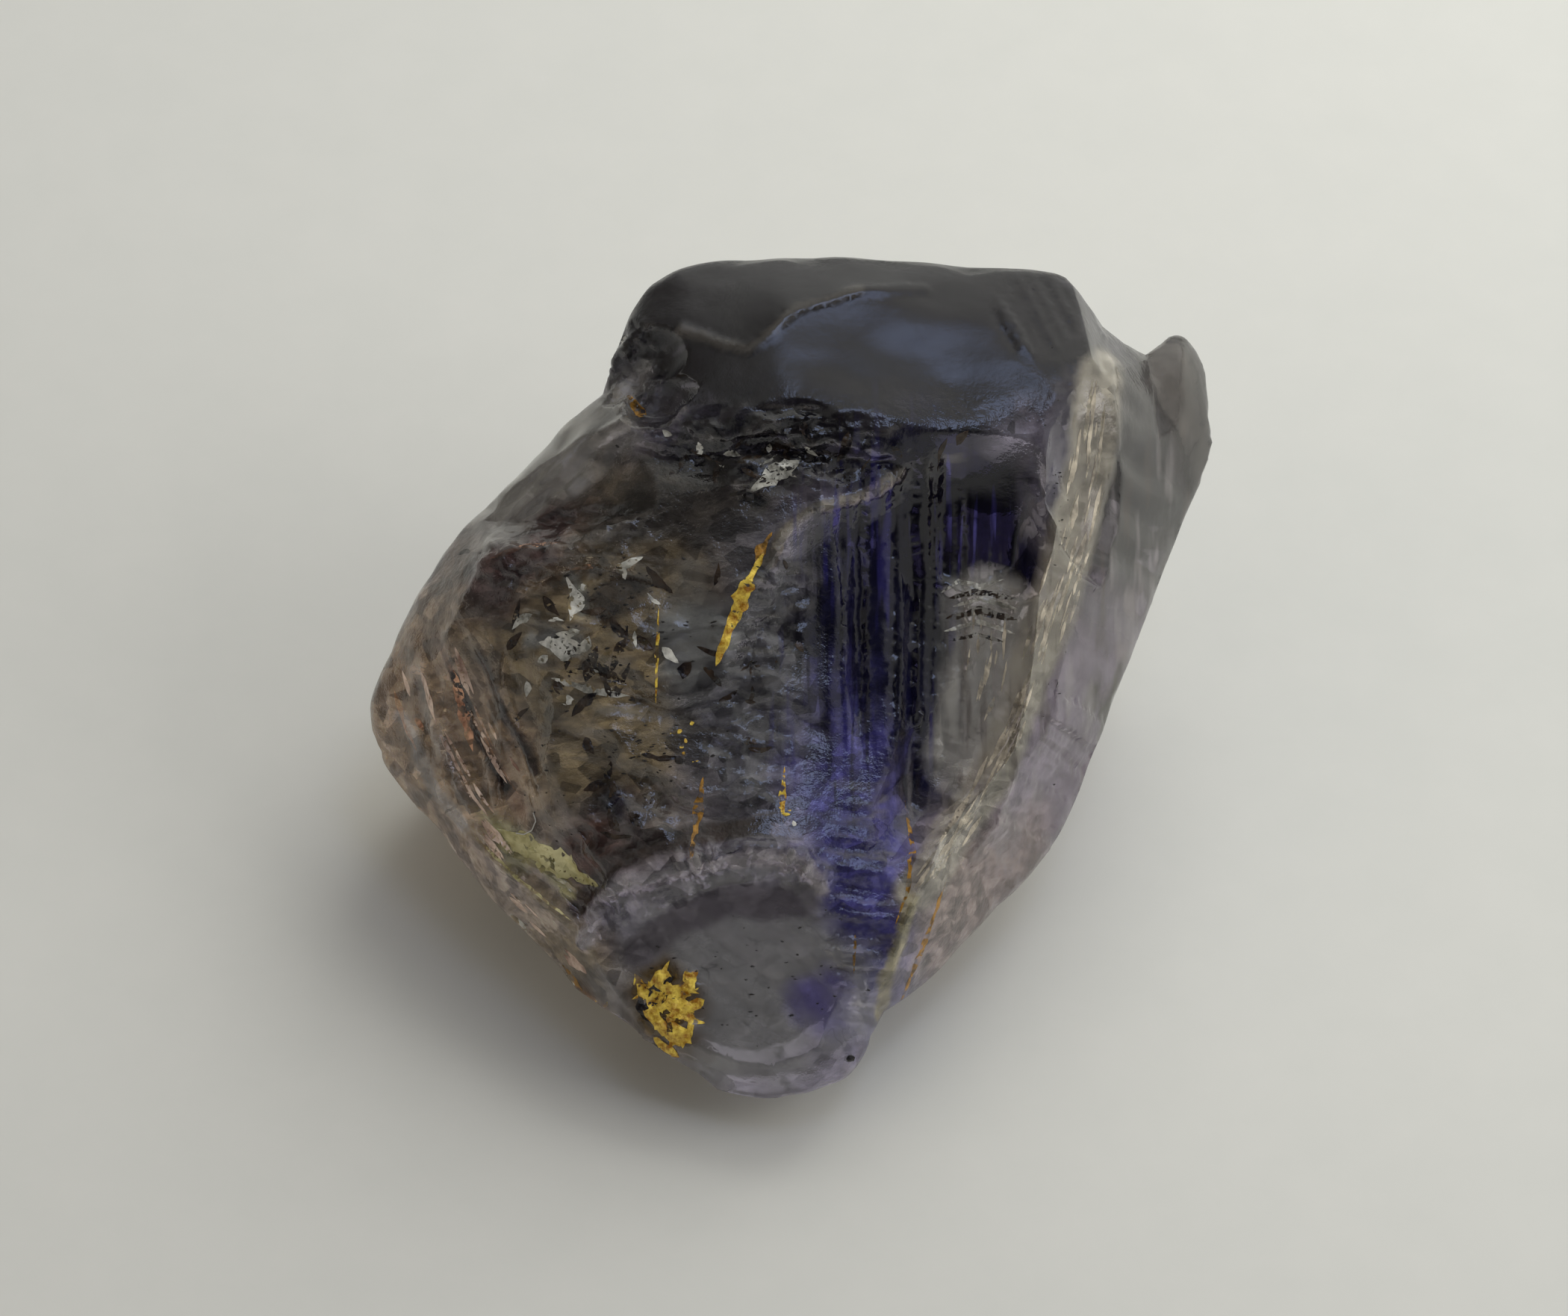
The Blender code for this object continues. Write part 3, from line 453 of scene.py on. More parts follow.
# Bands follow a line: pale frosted bands and darker streaks, with painted highlight along two crack lips, painted
# shade inside and above the arch lip, and partly painted light on the cream ridge. Each is the line, half width,
# colour and frost.
COLOUR_BANDS = [
    # Painted highlight: the pale, frosted band along the raised arch lip.
    ([(-3.00, -3.80), (-2.78, -3.25), (-2.40, -2.97), (-1.45, -2.72), (-0.60, -2.62), (0.10, -2.72),
      (0.40, -3.05)], 0.14, "#f4eaf2", 0.20),
    # Painted shade: the greyer band inside the arch, under its lip.
    ([(-2.20, -4.05), (-1.65, -3.50), (-0.90, -3.22), (0.10, -3.24)], 0.32, "#a09aa0", 0.08),
    # Partly painted light: the cream ridge bands are its frosted cream, made near white where the ridge faces the
    # light.
    ([(2.86, 1.00), (2.84, 0.30), (2.72, -0.40), (2.45, -1.10)], 0.66, "#fffaf0", 0.22),
    ([(4.55, 4.45), (4.34, 3.00), (4.10, 2.00), (3.80, 1.10), (3.54, 0.20)], 0.42, "#faf0da", 0.26),
    ([(3.54, 0.20), (3.20, -0.80), (2.70, -1.80), (2.15, -2.65), (1.80, -3.10)], 0.36, "#fff6e0", 0.26),
    ([(1.75, -3.20), (1.50, -4.00), (1.30, -4.90)], 0.12, "#d8cc9c", 0.16),
    ([(-5.55, 0.10), (-5.20, -0.90), (-4.70, -1.80)], 0.11, "#ffe4c8", 0.10),
    ([(-5.15, 0.55), (-4.85, -0.30), (-4.40, -1.20), (-3.95, -1.95)], 0.10, "#f6cca8", 0.10),
    ([(-5.72, -0.60), (-5.35, -1.40), (-4.80, -2.20)], 0.11, "#fff2e4", 0.10),
    ([(-4.95, 0.00), (-4.62, -0.90), (-4.20, -1.60)], 0.09, "#46342c", 0.08),
    ([(-4.55, 0.35), (-4.15, -0.60), (-3.70, -1.40)], 0.09, "#54443a", 0.08),
    ([(-2.45, 3.70), (-3.30, 3.02), (-4.40, 1.95)], 0.11, "#d8d2c8", 0.16),
    # Painted highlight along the raised crack lip above the gold lens.
    ([(1.60, 2.98), (0.92, 2.60), (0.36, 2.40), (-0.10, 2.06), (-0.38, 1.62)], 0.10, "#b9ae9c", 0.16),
    ([(-1.60, 5.10), (-1.05, 4.85), (-0.62, 4.75), (-0.30, 5.05), (0.05, 5.36), (1.00, 5.62)], 0.09,
     "#6a645c", 0.14),
    # Painted shade: the dark band just above the arch lip.
    ([(-3.10, -3.35), (-2.62, -2.72), (-2.05, -2.40), (-1.20, -2.22), (-0.40, -2.16)], 0.19, "#4c3c34", 0.09),
]
# Clean glassy faces, where the mottling is weak.
SMOOTH_ZONES = [
    ((1.0, 5.0, 4.6), (3.6, 1.2, 3.0), 0), ((5.2, 1.2, 3.0), (1.5, 5.0, 4.0), -22),
    ((2.9, -0.4, 5.0), (0.7, 1.4, 1.4), -17), ((-0.4, -4.5, 5.0), (1.9, 1.7, 4.0), 0),
    ((3.9, 2.3, 5.0), (0.5, 2.6, 1.5), -8), ((2.2, 1.2, 5.0), (1.4, 2.3, 3.0), 0),
    ((-3.6, 3.0, 4.0), (1.6, 0.5, 3.0), 42), ((-1.5, 0.6, 5.0), (0.5, 0.9, 2.0), 0),
]
# Where three kinds of fine marks lie: upright streaks, level streaks and slanting streaks.
MARK_ZONES = [
    [((1.0, 0.6, 5.0), (1.2, 3.0, 3.2), -4), ((2.4, 2.5, 5.0), (0.9, 1.1, 3.0), 0)],
    [((-2.4, 0.4, 5.0), (2.2, 2.2, 3.0), 8), ((0.9, -3.0, 5.0), (0.8, 2.3, 3.0), 4),
     ((-0.2, 3.4, 5.4), (2.3, 0.6, 2.0), -4), ((-0.5, 0.7, 5.4), (0.7, 1.3, 2.0), -20)],
    [((4.3, -0.6, 3.5), (2.0, 4.6, 5.0), -28)],
]


def share_of(centre, half, turn, softness):
    """For every point of the stone, a soft-edged share: 1 inside an oval zone and 0 outside it."""
    offset = warped - np.array(centre)
    turned = radians(-turn)
    across = offset[:, 0] * cos(turned) - offset[:, 1] * sin(turned)
    up = offset[:, 0] * sin(turned) + offset[:, 1] * cos(turned)
    reach = np.sqrt((across / half[0]) ** 2 + (up / half[1]) ** 2 + (offset[:, 2] / half[2]) ** 2)
    return np.clip((1 + softness - reach) / (2 * softness), 0, 1)


warped = placed + 0.38 * wandering + 0.12 * quivering
colours = np.tile(linear(BODY_COLOUR), (len(placed), 1))
frosts = np.full(len(placed), BODY_FROST)
for centre, half, turn, softness, zone_colour, zone_frost in COLOUR_ZONES:
    share = share_of(centre, half, turn, softness)
    colours += share[:, None] * (np.array(linear(zone_colour)) - colours)
    frosts += share * (zone_frost - frosts)
for line, half_width, band_colour, band_frost in COLOUR_BANDS:
    share = np.clip(1.6 - 1.6 * (from_line(shaken, line) / half_width) ** 2, 0, 1) * np.clip(3 * facing, 0, 1)
    colours += share[:, None] * (np.array(linear(band_colour)) - colours)
    frosts += share * (band_frost - frosts)
smooth = np.max([share_of(*zone, 0.3) for zone in SMOOTH_ZONES], axis=0)
colours[:, 3] = 0.90 - 0.72 * np.maximum(smooth, np.clip(0.3 - 2 * facing, 0, 1))
colours[:, :3] += (0.7 * worn)[:, None] * (np.array(linear("#cbc4ba")[:3]) - colours[:, :3])
frosts += 0.8 * worn * (0.40 - frosts)
marks = [np.max([share_of(*zone, 0.2) for zone in zones], axis=0) for zones in MARK_ZONES] + [frosts]
for name, values in (("zone_colour", colours), ("marks_and_frost", np.array(marks).T)):
    layer = finer.attributes.new(name, "FLOAT_COLOR", "POINT")
    layer.data.foreach_set("color", values.astype(np.float32).ravel())
print("stone triangles", len(finer.polygons))
stone.data = finer

# Zoisite: IOR 1.695, clear, and coloured in zones as it grew: near-black violet core, greyer top, brown left
# part, lilac flank. Broken ridges and the cream face are frosted by fine scratches, the rest is glossy.
# Some zones and bands are painted light and shade: the pale left tip, the glow round the gold, part of the
# cream ridge, and highlight and shade along the arch and crack lips.
zoisite, tree, shader = new_material("clear_zoisite")
shader.inputs["Transmission Weight"].default_value = 0.78
shader.inputs["IOR"].default_value = 1.695
own = add(tree, "ShaderNodeTexCoord")
here = add(tree, "ShaderNodeMapping", [(own.outputs["Object"], "Vector")], vector_type="POINT",
           Location=as_seen((0, 0, 0)), Rotation=(LOOKING_DOWN - pi / 2, 0, 0), Scale=(1 / MM,) * 3)
zones = add(tree, "ShaderNodeAttribute", attribute_name="zone_colour")
own_marks = add(tree, "ShaderNodeAttribute", attribute_name="marks_and_frost")
mark_shares = add(tree, "ShaderNodeSeparateColor", [(own_marks.outputs["Color"], "Color")])

# Mottling: flecks and broken flakes darken and lighten the colour, drawn out a little across the view.
drawn_out = add(tree, "ShaderNodeMapping", [(here.outputs["Vector"], "Vector")], Scale=(2.8, 4.2, 3.0),
                Rotation=(0, 0, radians(-8)))
flecks = add(tree, "ShaderNodeTexNoise", [(drawn_out.outputs["Vector"], "Vector")], Scale=1.0, Detail=3.0,
             Roughness=0.60)
fleck_tone = add(tree, "ShaderNodeMapRange", [(flecks.outputs["Fac"], "Value")],
                 in1=0.34, in2=0.66, in3=0.45, in4=1.55)
flakes = add(tree, "ShaderNodeTexVoronoi", [(drawn_out.outputs["Vector"], "Vector")], Scale=1.1)
flake_tone = add(tree, "ShaderNodeMapRange", [(flakes.outputs["Color"], "Value")],
                 in1=0.2, in2=0.8, in3=0.45, in4=1.60)
tone = add(tree, "ShaderNodeMath", [(fleck_tone.outputs["Result"], 0), (flake_tone.outputs["Result"], 1)],
           operation="MULTIPLY")
mottled = add(tree, "ShaderNodeMix", [(zones.outputs["Alpha"], "Factor"), (zones.outputs["Color"], "A"),
                                      (tone.outputs["Value"], "B")], data_type="RGBA", blend_type="MULTIPLY")
colour = mottled.outputs["Result"]

# Fine streaks: upright growth tubes in the violet core, level flake edges in the brown and dark bands, and
# slanting colour bands on the flank. Each kind has dark threads and light threads.
STREAKS = [
    ("Red", (7.0, 0.50, 0.8), 0, 0.65, "#040310", "#4a44b4"),
    ("Green", (1.2, 4.20, 0.8), 8, 0.40, "#2a241e", "#a8a399"),
    # The flank's light threads are partly painted highlight lines.
    ("Blue", (4.5, 0.50, 0.8), 28, 0.55, "#8c7c72", "#fbf0f0"),
]
for channel, scale, turn, strength, dark, light in STREAKS:
    stretched = add(tree, "ShaderNodeMapping", [(here.outputs["Vector"], "Vector")], Scale=scale,
                    Rotation=(0, 0, radians(turn)))
    threads = add(tree, "ShaderNodeTexNoise", [(stretched.outputs["Vector"], "Vector")], Scale=1.0,
                  Detail=2.0)
    for low, high, thread_colour in ((0.44, 0.36, dark), (0.56, 0.66, light)):
        streaks = add(tree, "ShaderNodeMapRange", [(threads.outputs["Fac"], "Value")],
                      in1=low, in2=high, in3=0.0, in4=strength)
        both = add(tree, "ShaderNodeMath",
                   [(streaks.outputs["Result"], 0), (mark_shares.outputs[channel], 1)], operation="MULTIPLY")
        laid = add(tree, "ShaderNodeMix", [(both.outputs["Value"], "Factor"), (colour, "A")],
                   data_type="RGBA")
        laid.inputs["B"].default_value = linear(thread_colour)
        colour = laid.outputs["Result"]

# Hair cracks wander over the whole stone, dark in the clear parts.
wandering_lines = add(tree, "ShaderNodeTexNoise", [(here.outputs["Vector"], "Vector")], Scale=1.1, Detail=2.0,
                      Distortion=1.4)
off_middle = add(tree, "ShaderNodeMath", [(wandering_lines.outputs["Fac"], 0)], operation="SUBTRACT", in1=0.5)
distance = add(tree, "ShaderNodeMath", [(off_middle.outputs["Value"], 0)], operation="ABSOLUTE")
hair_cracks = add(tree, "ShaderNodeMapRange", [(distance.outputs["Value"], "Value")],
                  in1=0.0, in2=0.004, in3=0.45, in4=0.0)
cracked = add(tree, "ShaderNodeMix", [(hair_cracks.outputs["Result"], "Factor"), (colour, "A")],
              data_type="RGBA")
cracked.inputs["B"].default_value = linear("#1d1b20")
tree.links.new(cracked.outputs["Result"], shader.inputs["Base Color"])
tree.links.new(own_marks.outputs["Alpha"], shader.inputs["Roughness"])
grain = add(tree, "ShaderNodeTexNoise", [(here.outputs["Vector"], "Vector")], Scale=6.0, Detail=3.0,
            Roughness=0.7)
rougher = add(tree, "ShaderNodeMath", [(grain.outputs["Fac"], 0), (zones.outputs["Alpha"], 1)],
              operation="MULTIPLY")
bump = add(tree, "ShaderNodeBump", [(rougher.outputs["Value"], "Height")], Strength=0.35, Distance=0.00006)
tree.links.new(bump.outputs["Normal"], shader.inputs["Normal"])
depth_tint = add(tree, "ShaderNodeVolumeAbsorption", Density=110.0)
depth_tint.inputs["Color"].default_value = linear("#a8a3ac")
tree.links.new(depth_tint.outputs["Volume"], tree.nodes["Material Output"].inputs["Volume"])
finer.materials.clear()
finer.materials.append(zoisite)
finer.shade_smooth()
finer.set_sharp_from_angle(angle=SHARP_FOLD)

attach(stone, "root")
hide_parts("tanzanite_crystal")

# What the cracks hold: thin crumpled films just under the broken surface and partly open to it, of gold
# and ochre iron stain, of copper-coloured stain, and of pale healed crack. The gold films are partly painted
# internal reflection, and the pale films and the left tip's glints are partly painted highlights.
surface = BVHTree.FromPolygons([vertex.co for vertex in finer.vertices],
                               [face.vertices[:] for face in finer.polygons])
FILM_STEP = 0.04
FILM_ROWS = 7
START_ABOVE = 14.0


def at_surface(across, up, depth):
    """The point a little under the surface, in millimetres, where it is seen across and up."""
    hit = surface.ray_cast(seen(across, up, START_ABOVE), -TOWARD_EYE)[0]
    return hit - depth * MM * TOWARD_EYE if hit else None


def along(line, share):
    """The point and the direction at a share of the length of a line of across and up points."""
    points = [Vector(point) for point in line]
    lengths = [(end - start).length for start, end in zip(points, points[1:])]
    left = share * sum(lengths)
    for start, end, length in zip(points, points[1:], lengths):
        if left <= length or end is points[-1]:
            return start + (end - start) * min(1.0, left / length), (end - start).normalized()
        left -= length


def crumpled_films(name, films, crumple, material):
    """Makes one piece of crumpled films: each is its line, its half width and its depth, in millimetres."""
    bm = bmesh.new()
    for line, half_width, depth in films:
        points = [Vector(point) for point in line]
        length = sum((end - start).length for start, end in zip(points, points[1:]))
        steps = max(4, int(length / FILM_STEP))
        before = None
        for step in range(steps + 1):
            share = step / steps
            middle, forward = along(line, share)
            aside = Vector((-forward.y, forward.x))
            taper = half_width * max(0.0, sin(pi * share)) ** 0.7
            taper *= 0.85 + 0.7 * noise.noise(Vector((middle.x, middle.y, 7.0)) * 4.0)
            row = []
            for lane in range(FILM_ROWS):
                out = 2 * lane / (FILM_ROWS - 1) - 1
                spot = middle + aside * out * taper
                ragged = noise.noise_vector(Vector((spot.x, spot.y, depth)) * 9.0)
                spot = spot + 0.55 * taper * Vector(ragged[:2])
                sunk = depth + crumple * noise.noise(Vector((spot.x, spot.y, 3.0)) * 11.0)
                place = at_surface(spot.x, spot.y, sunk)
                row.append(bm.verts.new(place) if place else None)
            if before:
                for lane in range(FILM_ROWS - 1):
                    corners = (before[lane], before[lane + 1], row[lane + 1], row[lane])
                    if all(corners):
                        bm.faces.new(corners)
            before = row
    bmesh.ops.triangulate(bm, faces=bm.faces[:])
    mesh = bpy.data.meshes.new(name)
    bm.to_mesh(mesh)
    bm.free()
    mesh.materials.append(material)
    piece = bpy.data.objects.new(name, mesh)
    bpy.context.scene.collection.objects.link(piece)
    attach(piece, "root")


def stained_film(name, dark, light, metallic, roughness, scale):
    """A film that goes from one colour to another in patches, with a crinkled gloss."""
    material, tree, shader = new_material(name)
    own = add(tree, "ShaderNodeTexCoord")
    patches = add(tree, "ShaderNodeTexNoise", [(own.outputs["Object"], "Vector")],
                  Scale=scale / MM, Detail=4.0, Roughness=0.65)
    spread = add(tree, "ShaderNodeMapRange", [(patches.outputs["Fac"], "Value")],
                 in1=0.36, in2=0.62, in3=0.0, in4=1.0)
    tone = add(tree, "ShaderNodeMix", [(spread.outputs["Result"], "Factor")], data_type="RGBA")
    tone.inputs["A"].default_value = linear(dark)
    tone.inputs["B"].default_value = linear(light)
    tree.links.new(tone.outputs["Result"], shader.inputs["Base Color"])
    shader.inputs["Metallic"].default_value = metallic
    shader.inputs["Roughness"].default_value = roughness
    crinkle = add(tree, "ShaderNodeBump", [(patches.outputs["Fac"], "Height")], Strength=0.8,
                  Distance=0.00004)
    tree.links.new(crinkle.outputs["Normal"], shader.inputs["Normal"])
    return material


def shards(seed, count, middle, spread, length, half_width, sunk):
    """Small films strewn round a middle at all angles: count of them, with ranges of length and half width."""
    chance = Random(seed)
    films = []
    for shard in range(count):
        spot = Vector((chance.gauss(middle[0], spread[0]), chance.gauss(middle[1], spread[1])))
        angle = chance.uniform(0, pi)
        reach = 0.5 * chance.uniform(*length) * Vector((cos(angle), sin(angle)))
        bend = spot + 0.3 * Vector((-reach.y, reach.x)) * chance.uniform(-1, 1)
        films.append(([spot - reach, bend, spot + reach], chance.uniform(*half_width), chance.uniform(*sunk)))
    return films


def strands(seed, count, line, spread, length, half_width):
    """Fine scratches along a line: count of them, strewn sideways, each a share of the line's length."""
    chance = Random(seed)
    films = []
    for strand in range(count):
        first = chance.uniform(0.0, 0.94)
        last = min(1.0, first + chance.uniform(*length))
        aside, drift = chance.gauss(0, spread), chance.uniform(-0.06, 0.06)
        points = []
        for share in (first, (first + last) / 2, last):
            middle, forward = along(line, share)
            points.append(middle + Vector((-forward.y, forward.x)) * (aside + drift * (share - first)))
        films.append((points, chance.uniform(*half_width), chance.uniform(-0.006, 0.002)))
    return films


# Gold-coloured films: the brightest things on the stone, in a cluster at the front tip and in a lens-shaped
# crack beside the violet core. Their bright yellow is partly iron stain and partly painted internal
# reflection.
crumpled_films("gold_films", [
    ([(-0.40, 1.80), (-0.56, 1.52), (-0.70, 1.20), (-0.90, 0.70), (-1.10, 0.15)], 0.125, -0.008),
    ([(-1.93, 1.00), (-1.95, 0.30), (-1.97, -0.40)], 0.030, -0.002),
    ([(-0.10, -1.30), (-0.13, -1.70), (-0.12, -2.12)], 0.045, -0.002),
    *shards(3, 24, (-1.88, -4.56), (0.26, 0.20), (0.22, 0.56), (0.045, 0.115), (-0.024, 0.002)),
    *shards(5, 22, (-1.64, -5.02), (0.16, 0.30), (0.14, 0.46), (0.040, 0.095), (-0.024, 0.002)),
    *shards(7, 4, (-2.88, -4.82), (0.09, 0.09), (0.08, 0.18), (0.025, 0.050), (-0.010, 0.004)),
    *shards(9, 7, (-1.58, -0.85), (0.12, 0.28), (0.06, 0.18), (0.015, 0.040), (-0.008, 0.006)),
    *shards(11, 4, (-0.08, -1.95), (0.05, 0.14), (0.06, 0.14), (0.015, 0.035), (-0.008, 0.006)),
], 0.018, stained_film("gold_stain_and_painted_reflection", "#a06a12", "#ffe060", 0.10, 0.20, 7.0))

# Ochre and olive stain: dull, along thin cracks.
crumpled_films("ochre_films", [
    ([(-0.28, 2.10), (-0.42, 1.88), (-0.52, 1.62)], 0.09, -0.006),
    ([(-1.28, -1.45), (-1.38, -2.10), (-1.46, -2.65)], 0.075, 0.0),
    ([(-2.40, 4.12), (-2.25, 3.90), (-2.12, 3.80)], 0.11, 0.0),
    ([(2.25, -2.95), (1.92, -3.90), (1.55, -4.85)], 0.035, 0.0),
    ([(1.65, -1.80), (1.76, -2.50), (1.68, -3.10), (1.50, -3.60)], 0.045, 0.0),
    ([(0.92, -3.70), (0.90, -4.30)], 0.030, 0.0),
    ([(-3.05, -4.60), (-3.35, -4.20)], 0.05, 0.0),
], 0.012, stained_film("ochre_crack_stain", "#3c2c12", "#b98838", 0.1, 0.35, 5.0))

# Copper-red streaks on the left tip.
crumpled_films("copper_films", [
    ([(-4.95, 0.10), (-4.82, -0.45), (-4.66, -1.10)], 0.085, 0.0),
    ([(-5.52, -0.60), (-5.40, -0.80)], 0.06, 0.0),
    ([(-5.85, -0.20), (-5.70, -0.65), (-5.50, -1.10)], 0.05, 0.006),
    ([(-4.40, 1.72), (-3.90, 1.90), (-3.40, 1.95)], 0.05, 0.006),
    ([(-3.30, 1.55), (-2.80, 1.62)], 0.04, 0.006),
], 0.008, stained_film("copper_crack_stain", "#7a4a38", "#f2bc98", 0.3, 0.25, 3.0))

# Long glints that follow the left tip: rosy healed cracks, partly painted highlights along its folds.
crumpled_films("tip_glints", [
    *strands(41, 14, [(-5.60, 0.20), (-5.25, -0.90), (-4.70, -1.85), (-4.10, -2.60)], 0.10, (0.10, 0.30),
             (0.020, 0.045)),
    *strands(43, 12, [(-5.05, 0.50), (-4.70, -0.40), (-4.25, -1.30), (-3.75, -2.00)], 0.14, (0.10, 0.34),
             (0.018, 0.040)),
    *strands(45, 7, [(-4.30, -3.05), (-3.60, -3.70), (-3.00, -4.35)], 0.10, (0.08, 0.24), (0.020, 0.045)),
], 0.006, stained_film("rosy_crack_and_painted_glint", "#8a6a5c", "#f0d8c6", 0.1, 0.20, 2.0))

# The cream ridge is scratched along its length; the scratches catch more light than the glass under them.
crumpled_films("cream_scratches", [
    *strands(51, 54, [(4.52, 4.40), (4.34, 3.00), (4.10, 2.00), (3.80, 1.10), (3.54, 0.20)], 0.16,
             (0.05, 0.20), (0.014, 0.034)),
    *strands(53, 44, [(3.54, 0.20), (3.20, -0.80), (2.70, -1.80), (2.15, -2.65), (1.80, -3.10)], 0.10,
             (0.06, 0.24), (0.014, 0.034)),
    *strands(55, 16, [(2.95, 1.05), (2.92, 0.30), (2.78, -0.40), (2.45, -1.20)], 0.17, (0.08, 0.26),
             (0.012, 0.026)),
], 0.006, stained_film("cream_scratched_edge", "#7d756a", "#d6cab6", 0.0, 0.45, 3.0))

# Greenish-yellow crack faces on the lower left.
crumpled_films("yellow_films", [
    ([(-4.30, -2.22), (-3.85, -2.48), (-3.35, -2.74), (-2.80, -3.05)], 0.19, -0.004),
    ([(-4.62, -2.35), (-3.95, -2.98), (-3.20, -3.55)], 0.035, 0.0),
], 0.006, stained_film("yellow_crack_face", "#9c9460", "#ece4b0", 0.1, 0.18, 1.2))

# Pale glints: healed cracks and chipped edges, partly in their own pale grey and partly painted highlights
# that stand in for the light they catch.
crumpled_films("pale_films", [
    ([(-0.60, 2.70), (-0.25, 2.94), (0.12, 3.14)], 0.13, -0.006),
    ([(0.02, -2.08), (0.05, -2.18)], 0.04, 0.0),
    ([(-4.12, -3.48), (-3.88, -3.74)], 0.075, 0.0),
    ([(-3.40, -4.28), (-3.15, -4.55)], 0.05, 0.0),
    ([(-3.28, 1.46), (-3.12, 1.10), (-3.22, 0.80)], 0.09, -0.002),
    ([(-3.68, 0.50), (-3.35, 0.44), (-3.00, 0.40)], 0.13, -0.002),
    ([(-3.50, -0.02), (-2.90, -0.20), (-2.35, -0.28)], 0.07, -0.002),
    ([(2.18, 1.22), (2.45, 1.40), (2.75, 1.30), (3.10, 1.42)], 0.055, 0.0),
    ([(2.35, 1.02), (2.75, 1.14), (3.30, 0.98)], 0.050, 0.0),
    ([(2.22, 0.66), (2.75, 0.80), (3.25, 0.62)], 0.045, 0.0),
    ([(-2.50, 5.10), (-2.35, 4.60)], 0.06, 0.008),
    *shards(21, 16, (-2.9, 0.6), (0.55, 0.70), (0.14, 0.40), (0.030, 0.085), (-0.010, 0.002)),
    *shards(25, 9, (-0.5, 3.2), (0.80, 0.22), (0.12, 0.34), (0.025, 0.060), (-0.008, 0.004)),
], 0.010, stained_film("pale_crack_and_painted_glint", "#77766f", "#e4e2da", 0.0, 0.22, 3.0))

# Dark flakes: open cracks seen edge on, which show as crisp dark scraps between the brown glass.
crumpled_films("dark_flakes", [
    *shards(31, 30, (-2.8, 0.5), (0.70, 0.75), (0.20, 0.60), (0.035, 0.100), (-0.006, 0.004)),
    *shards(33, 20, (-0.4, 3.2), (1.10, 0.28), (0.20, 0.55), (0.030, 0.080), (-0.006, 0.004)),
    *shards(35, 14, (-0.6, 0.4), (0.35, 0.80), (0.16, 0.45), (0.025, 0.060), (-0.006, 0.004)),
    *shards(37, 8, (-2.5, -1.9), (0.40, 0.35), (0.20, 0.50), (0.040, 0.090), (-0.006, 0.004)),
    ([(2.28, 1.14), (2.75, 1.24), (3.30, 1.12)], 0.060, 0.0),
    ([(2.24, 0.84), (2.75, 0.96), (3.30, 0.82)], 0.065, 0.0),
    ([(2.30, 0.52), (2.70, 0.62), (3.10, 0.50)], 0.045, 0.0),
    *shards(39, 10, (-1.85, -4.65), (0.26, 0.26), (0.12, 0.30), (0.025, 0.055), (-0.020, -0.006)),
], 0.010, stained_film("dark_open_crack", "#121014", "#3c3026", 0.0, 0.16, 3.0))

# Dark mineral specks and pits, strewn over the front.
SPECKS = [(0.83, -5.53, 0.075), (-0.60, 2.62, 0.10), (-1.62, -1.22, 0.09), (-0.78, 2.66, 0.07)]
SPECK_FIELDS = [
    ((-2.6, 0.9), (1.5, 1.2), 90, (0.012, 0.034)),
    ((-2.2, -1.1), (1.2, 0.6), 60, (0.012, 0.030)),
    ((-0.5, -4.2), (1.6, 1.2), 45, (0.010, 0.024)),
    ((-0.2, 3.2), (1.9, 0.5), 40, (0.015, 0.045)),
    ((3.9, 2.2), (0.25, 2.2), 30, (0.008, 0.018)),
    ((-3.4, -1.9), (0.8, 0.5), 16, (0.010, 0.020)),
]
spread = Random(7)
for (x, y), (half_x, half_y), count, (small, large) in SPECK_FIELDS:
    for speck in range(count):
        across, up = spread.gauss(x, half_x / 2), spread.gauss(y, half_y / 2)
        SPECKS.append((across, up, spread.uniform(small, large)))
bm = bmesh.new()
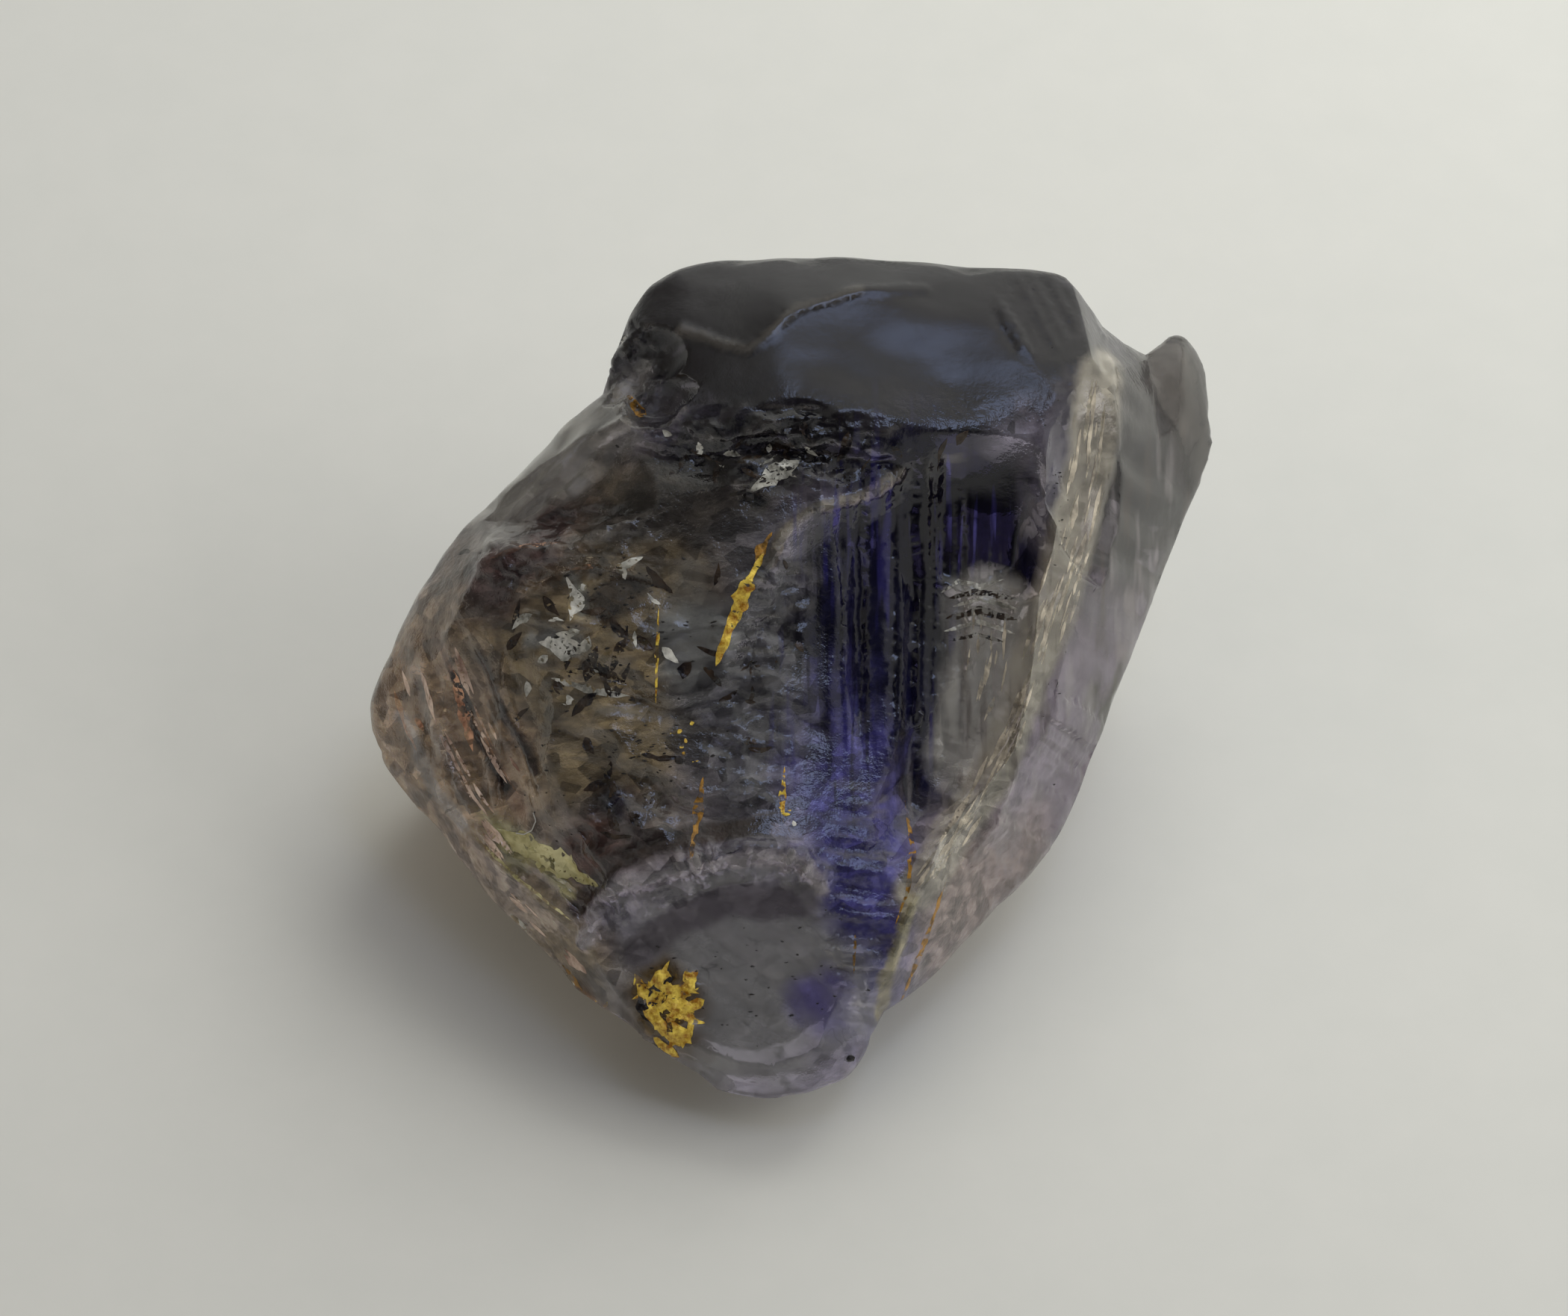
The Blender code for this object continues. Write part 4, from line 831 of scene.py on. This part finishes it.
for across, up, radius in SPECKS:
    place = at_surface(across, up, 0.3 * radius)
    if place:
        lengthened = (spread.uniform(0.9, 2.4), spread.uniform(0.6, 1.0), spread.uniform(0.4, 0.8))
        turned = Matrix.Rotation(spread.uniform(-0.5, 0.5), 4, "Y") @ Matrix.Diagonal((*lengthened, 1.0))
        bmesh.ops.create_icosphere(bm, subdivisions=1, radius=radius * MM,
                                   matrix=Matrix.Translation(place) @ turned)
speck_mesh = bpy.data.meshes.new("dark_specks")
bm.to_mesh(speck_mesh)
bm.free()
speck_mesh.materials.append(stained_film("dark_mineral_speck", "#0e0c0e", "#2a2422", 0.0, 0.4, 8.0))
specks = bpy.data.objects.new("dark_specks", speck_mesh)
bpy.context.scene.collection.objects.link(specks)
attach(specks, "root")

# One curled white dust fibre that lies on the lower left face: a cotton lint thread 18 micrometres thick.
FIBRE = [(-4.02, -2.28), (-3.90, -2.30), (-3.78, -2.24), (-3.72, -2.10), (-3.76, -1.98)]
FIBRE_RADIUS = 0.009
FIBRE_SIDES = 6
bm = bmesh.new()
before = None
for step in range(25):
    middle, forward = along(FIBRE, step / 24)
    place = at_surface(middle.x, middle.y, -0.02)
    aside = Vector((-forward.y, forward.x))
    ring = [
        bm.verts.new(place + MM * FIBRE_RADIUS * (
            cos(2 * pi * side / FIBRE_SIDES) * (aside.x * Vector((1, 0, 0)) + aside.y * UP_THE_VIEW)
            + sin(2 * pi * side / FIBRE_SIDES) * TOWARD_EYE
        ))
        for side in range(FIBRE_SIDES)
    ]
    if before:
        for side in range(FIBRE_SIDES):
            after = (side + 1) % FIBRE_SIDES
            bm.faces.new((before[side], before[after], ring[after], ring[side]))
    before = ring
fibre_mesh = bpy.data.meshes.new("dust_fibre")
bm.to_mesh(fibre_mesh)
bm.free()
fibre_mesh.materials.append(stained_film("white_cotton_lint", "#c4c2bc", "#e4e2dc", 0.0, 0.7, 20.0))
fibre = bpy.data.objects.new("dust_fibre", fibre_mesh)
bpy.context.scene.collection.objects.link(fibre)
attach(fibre, "root")
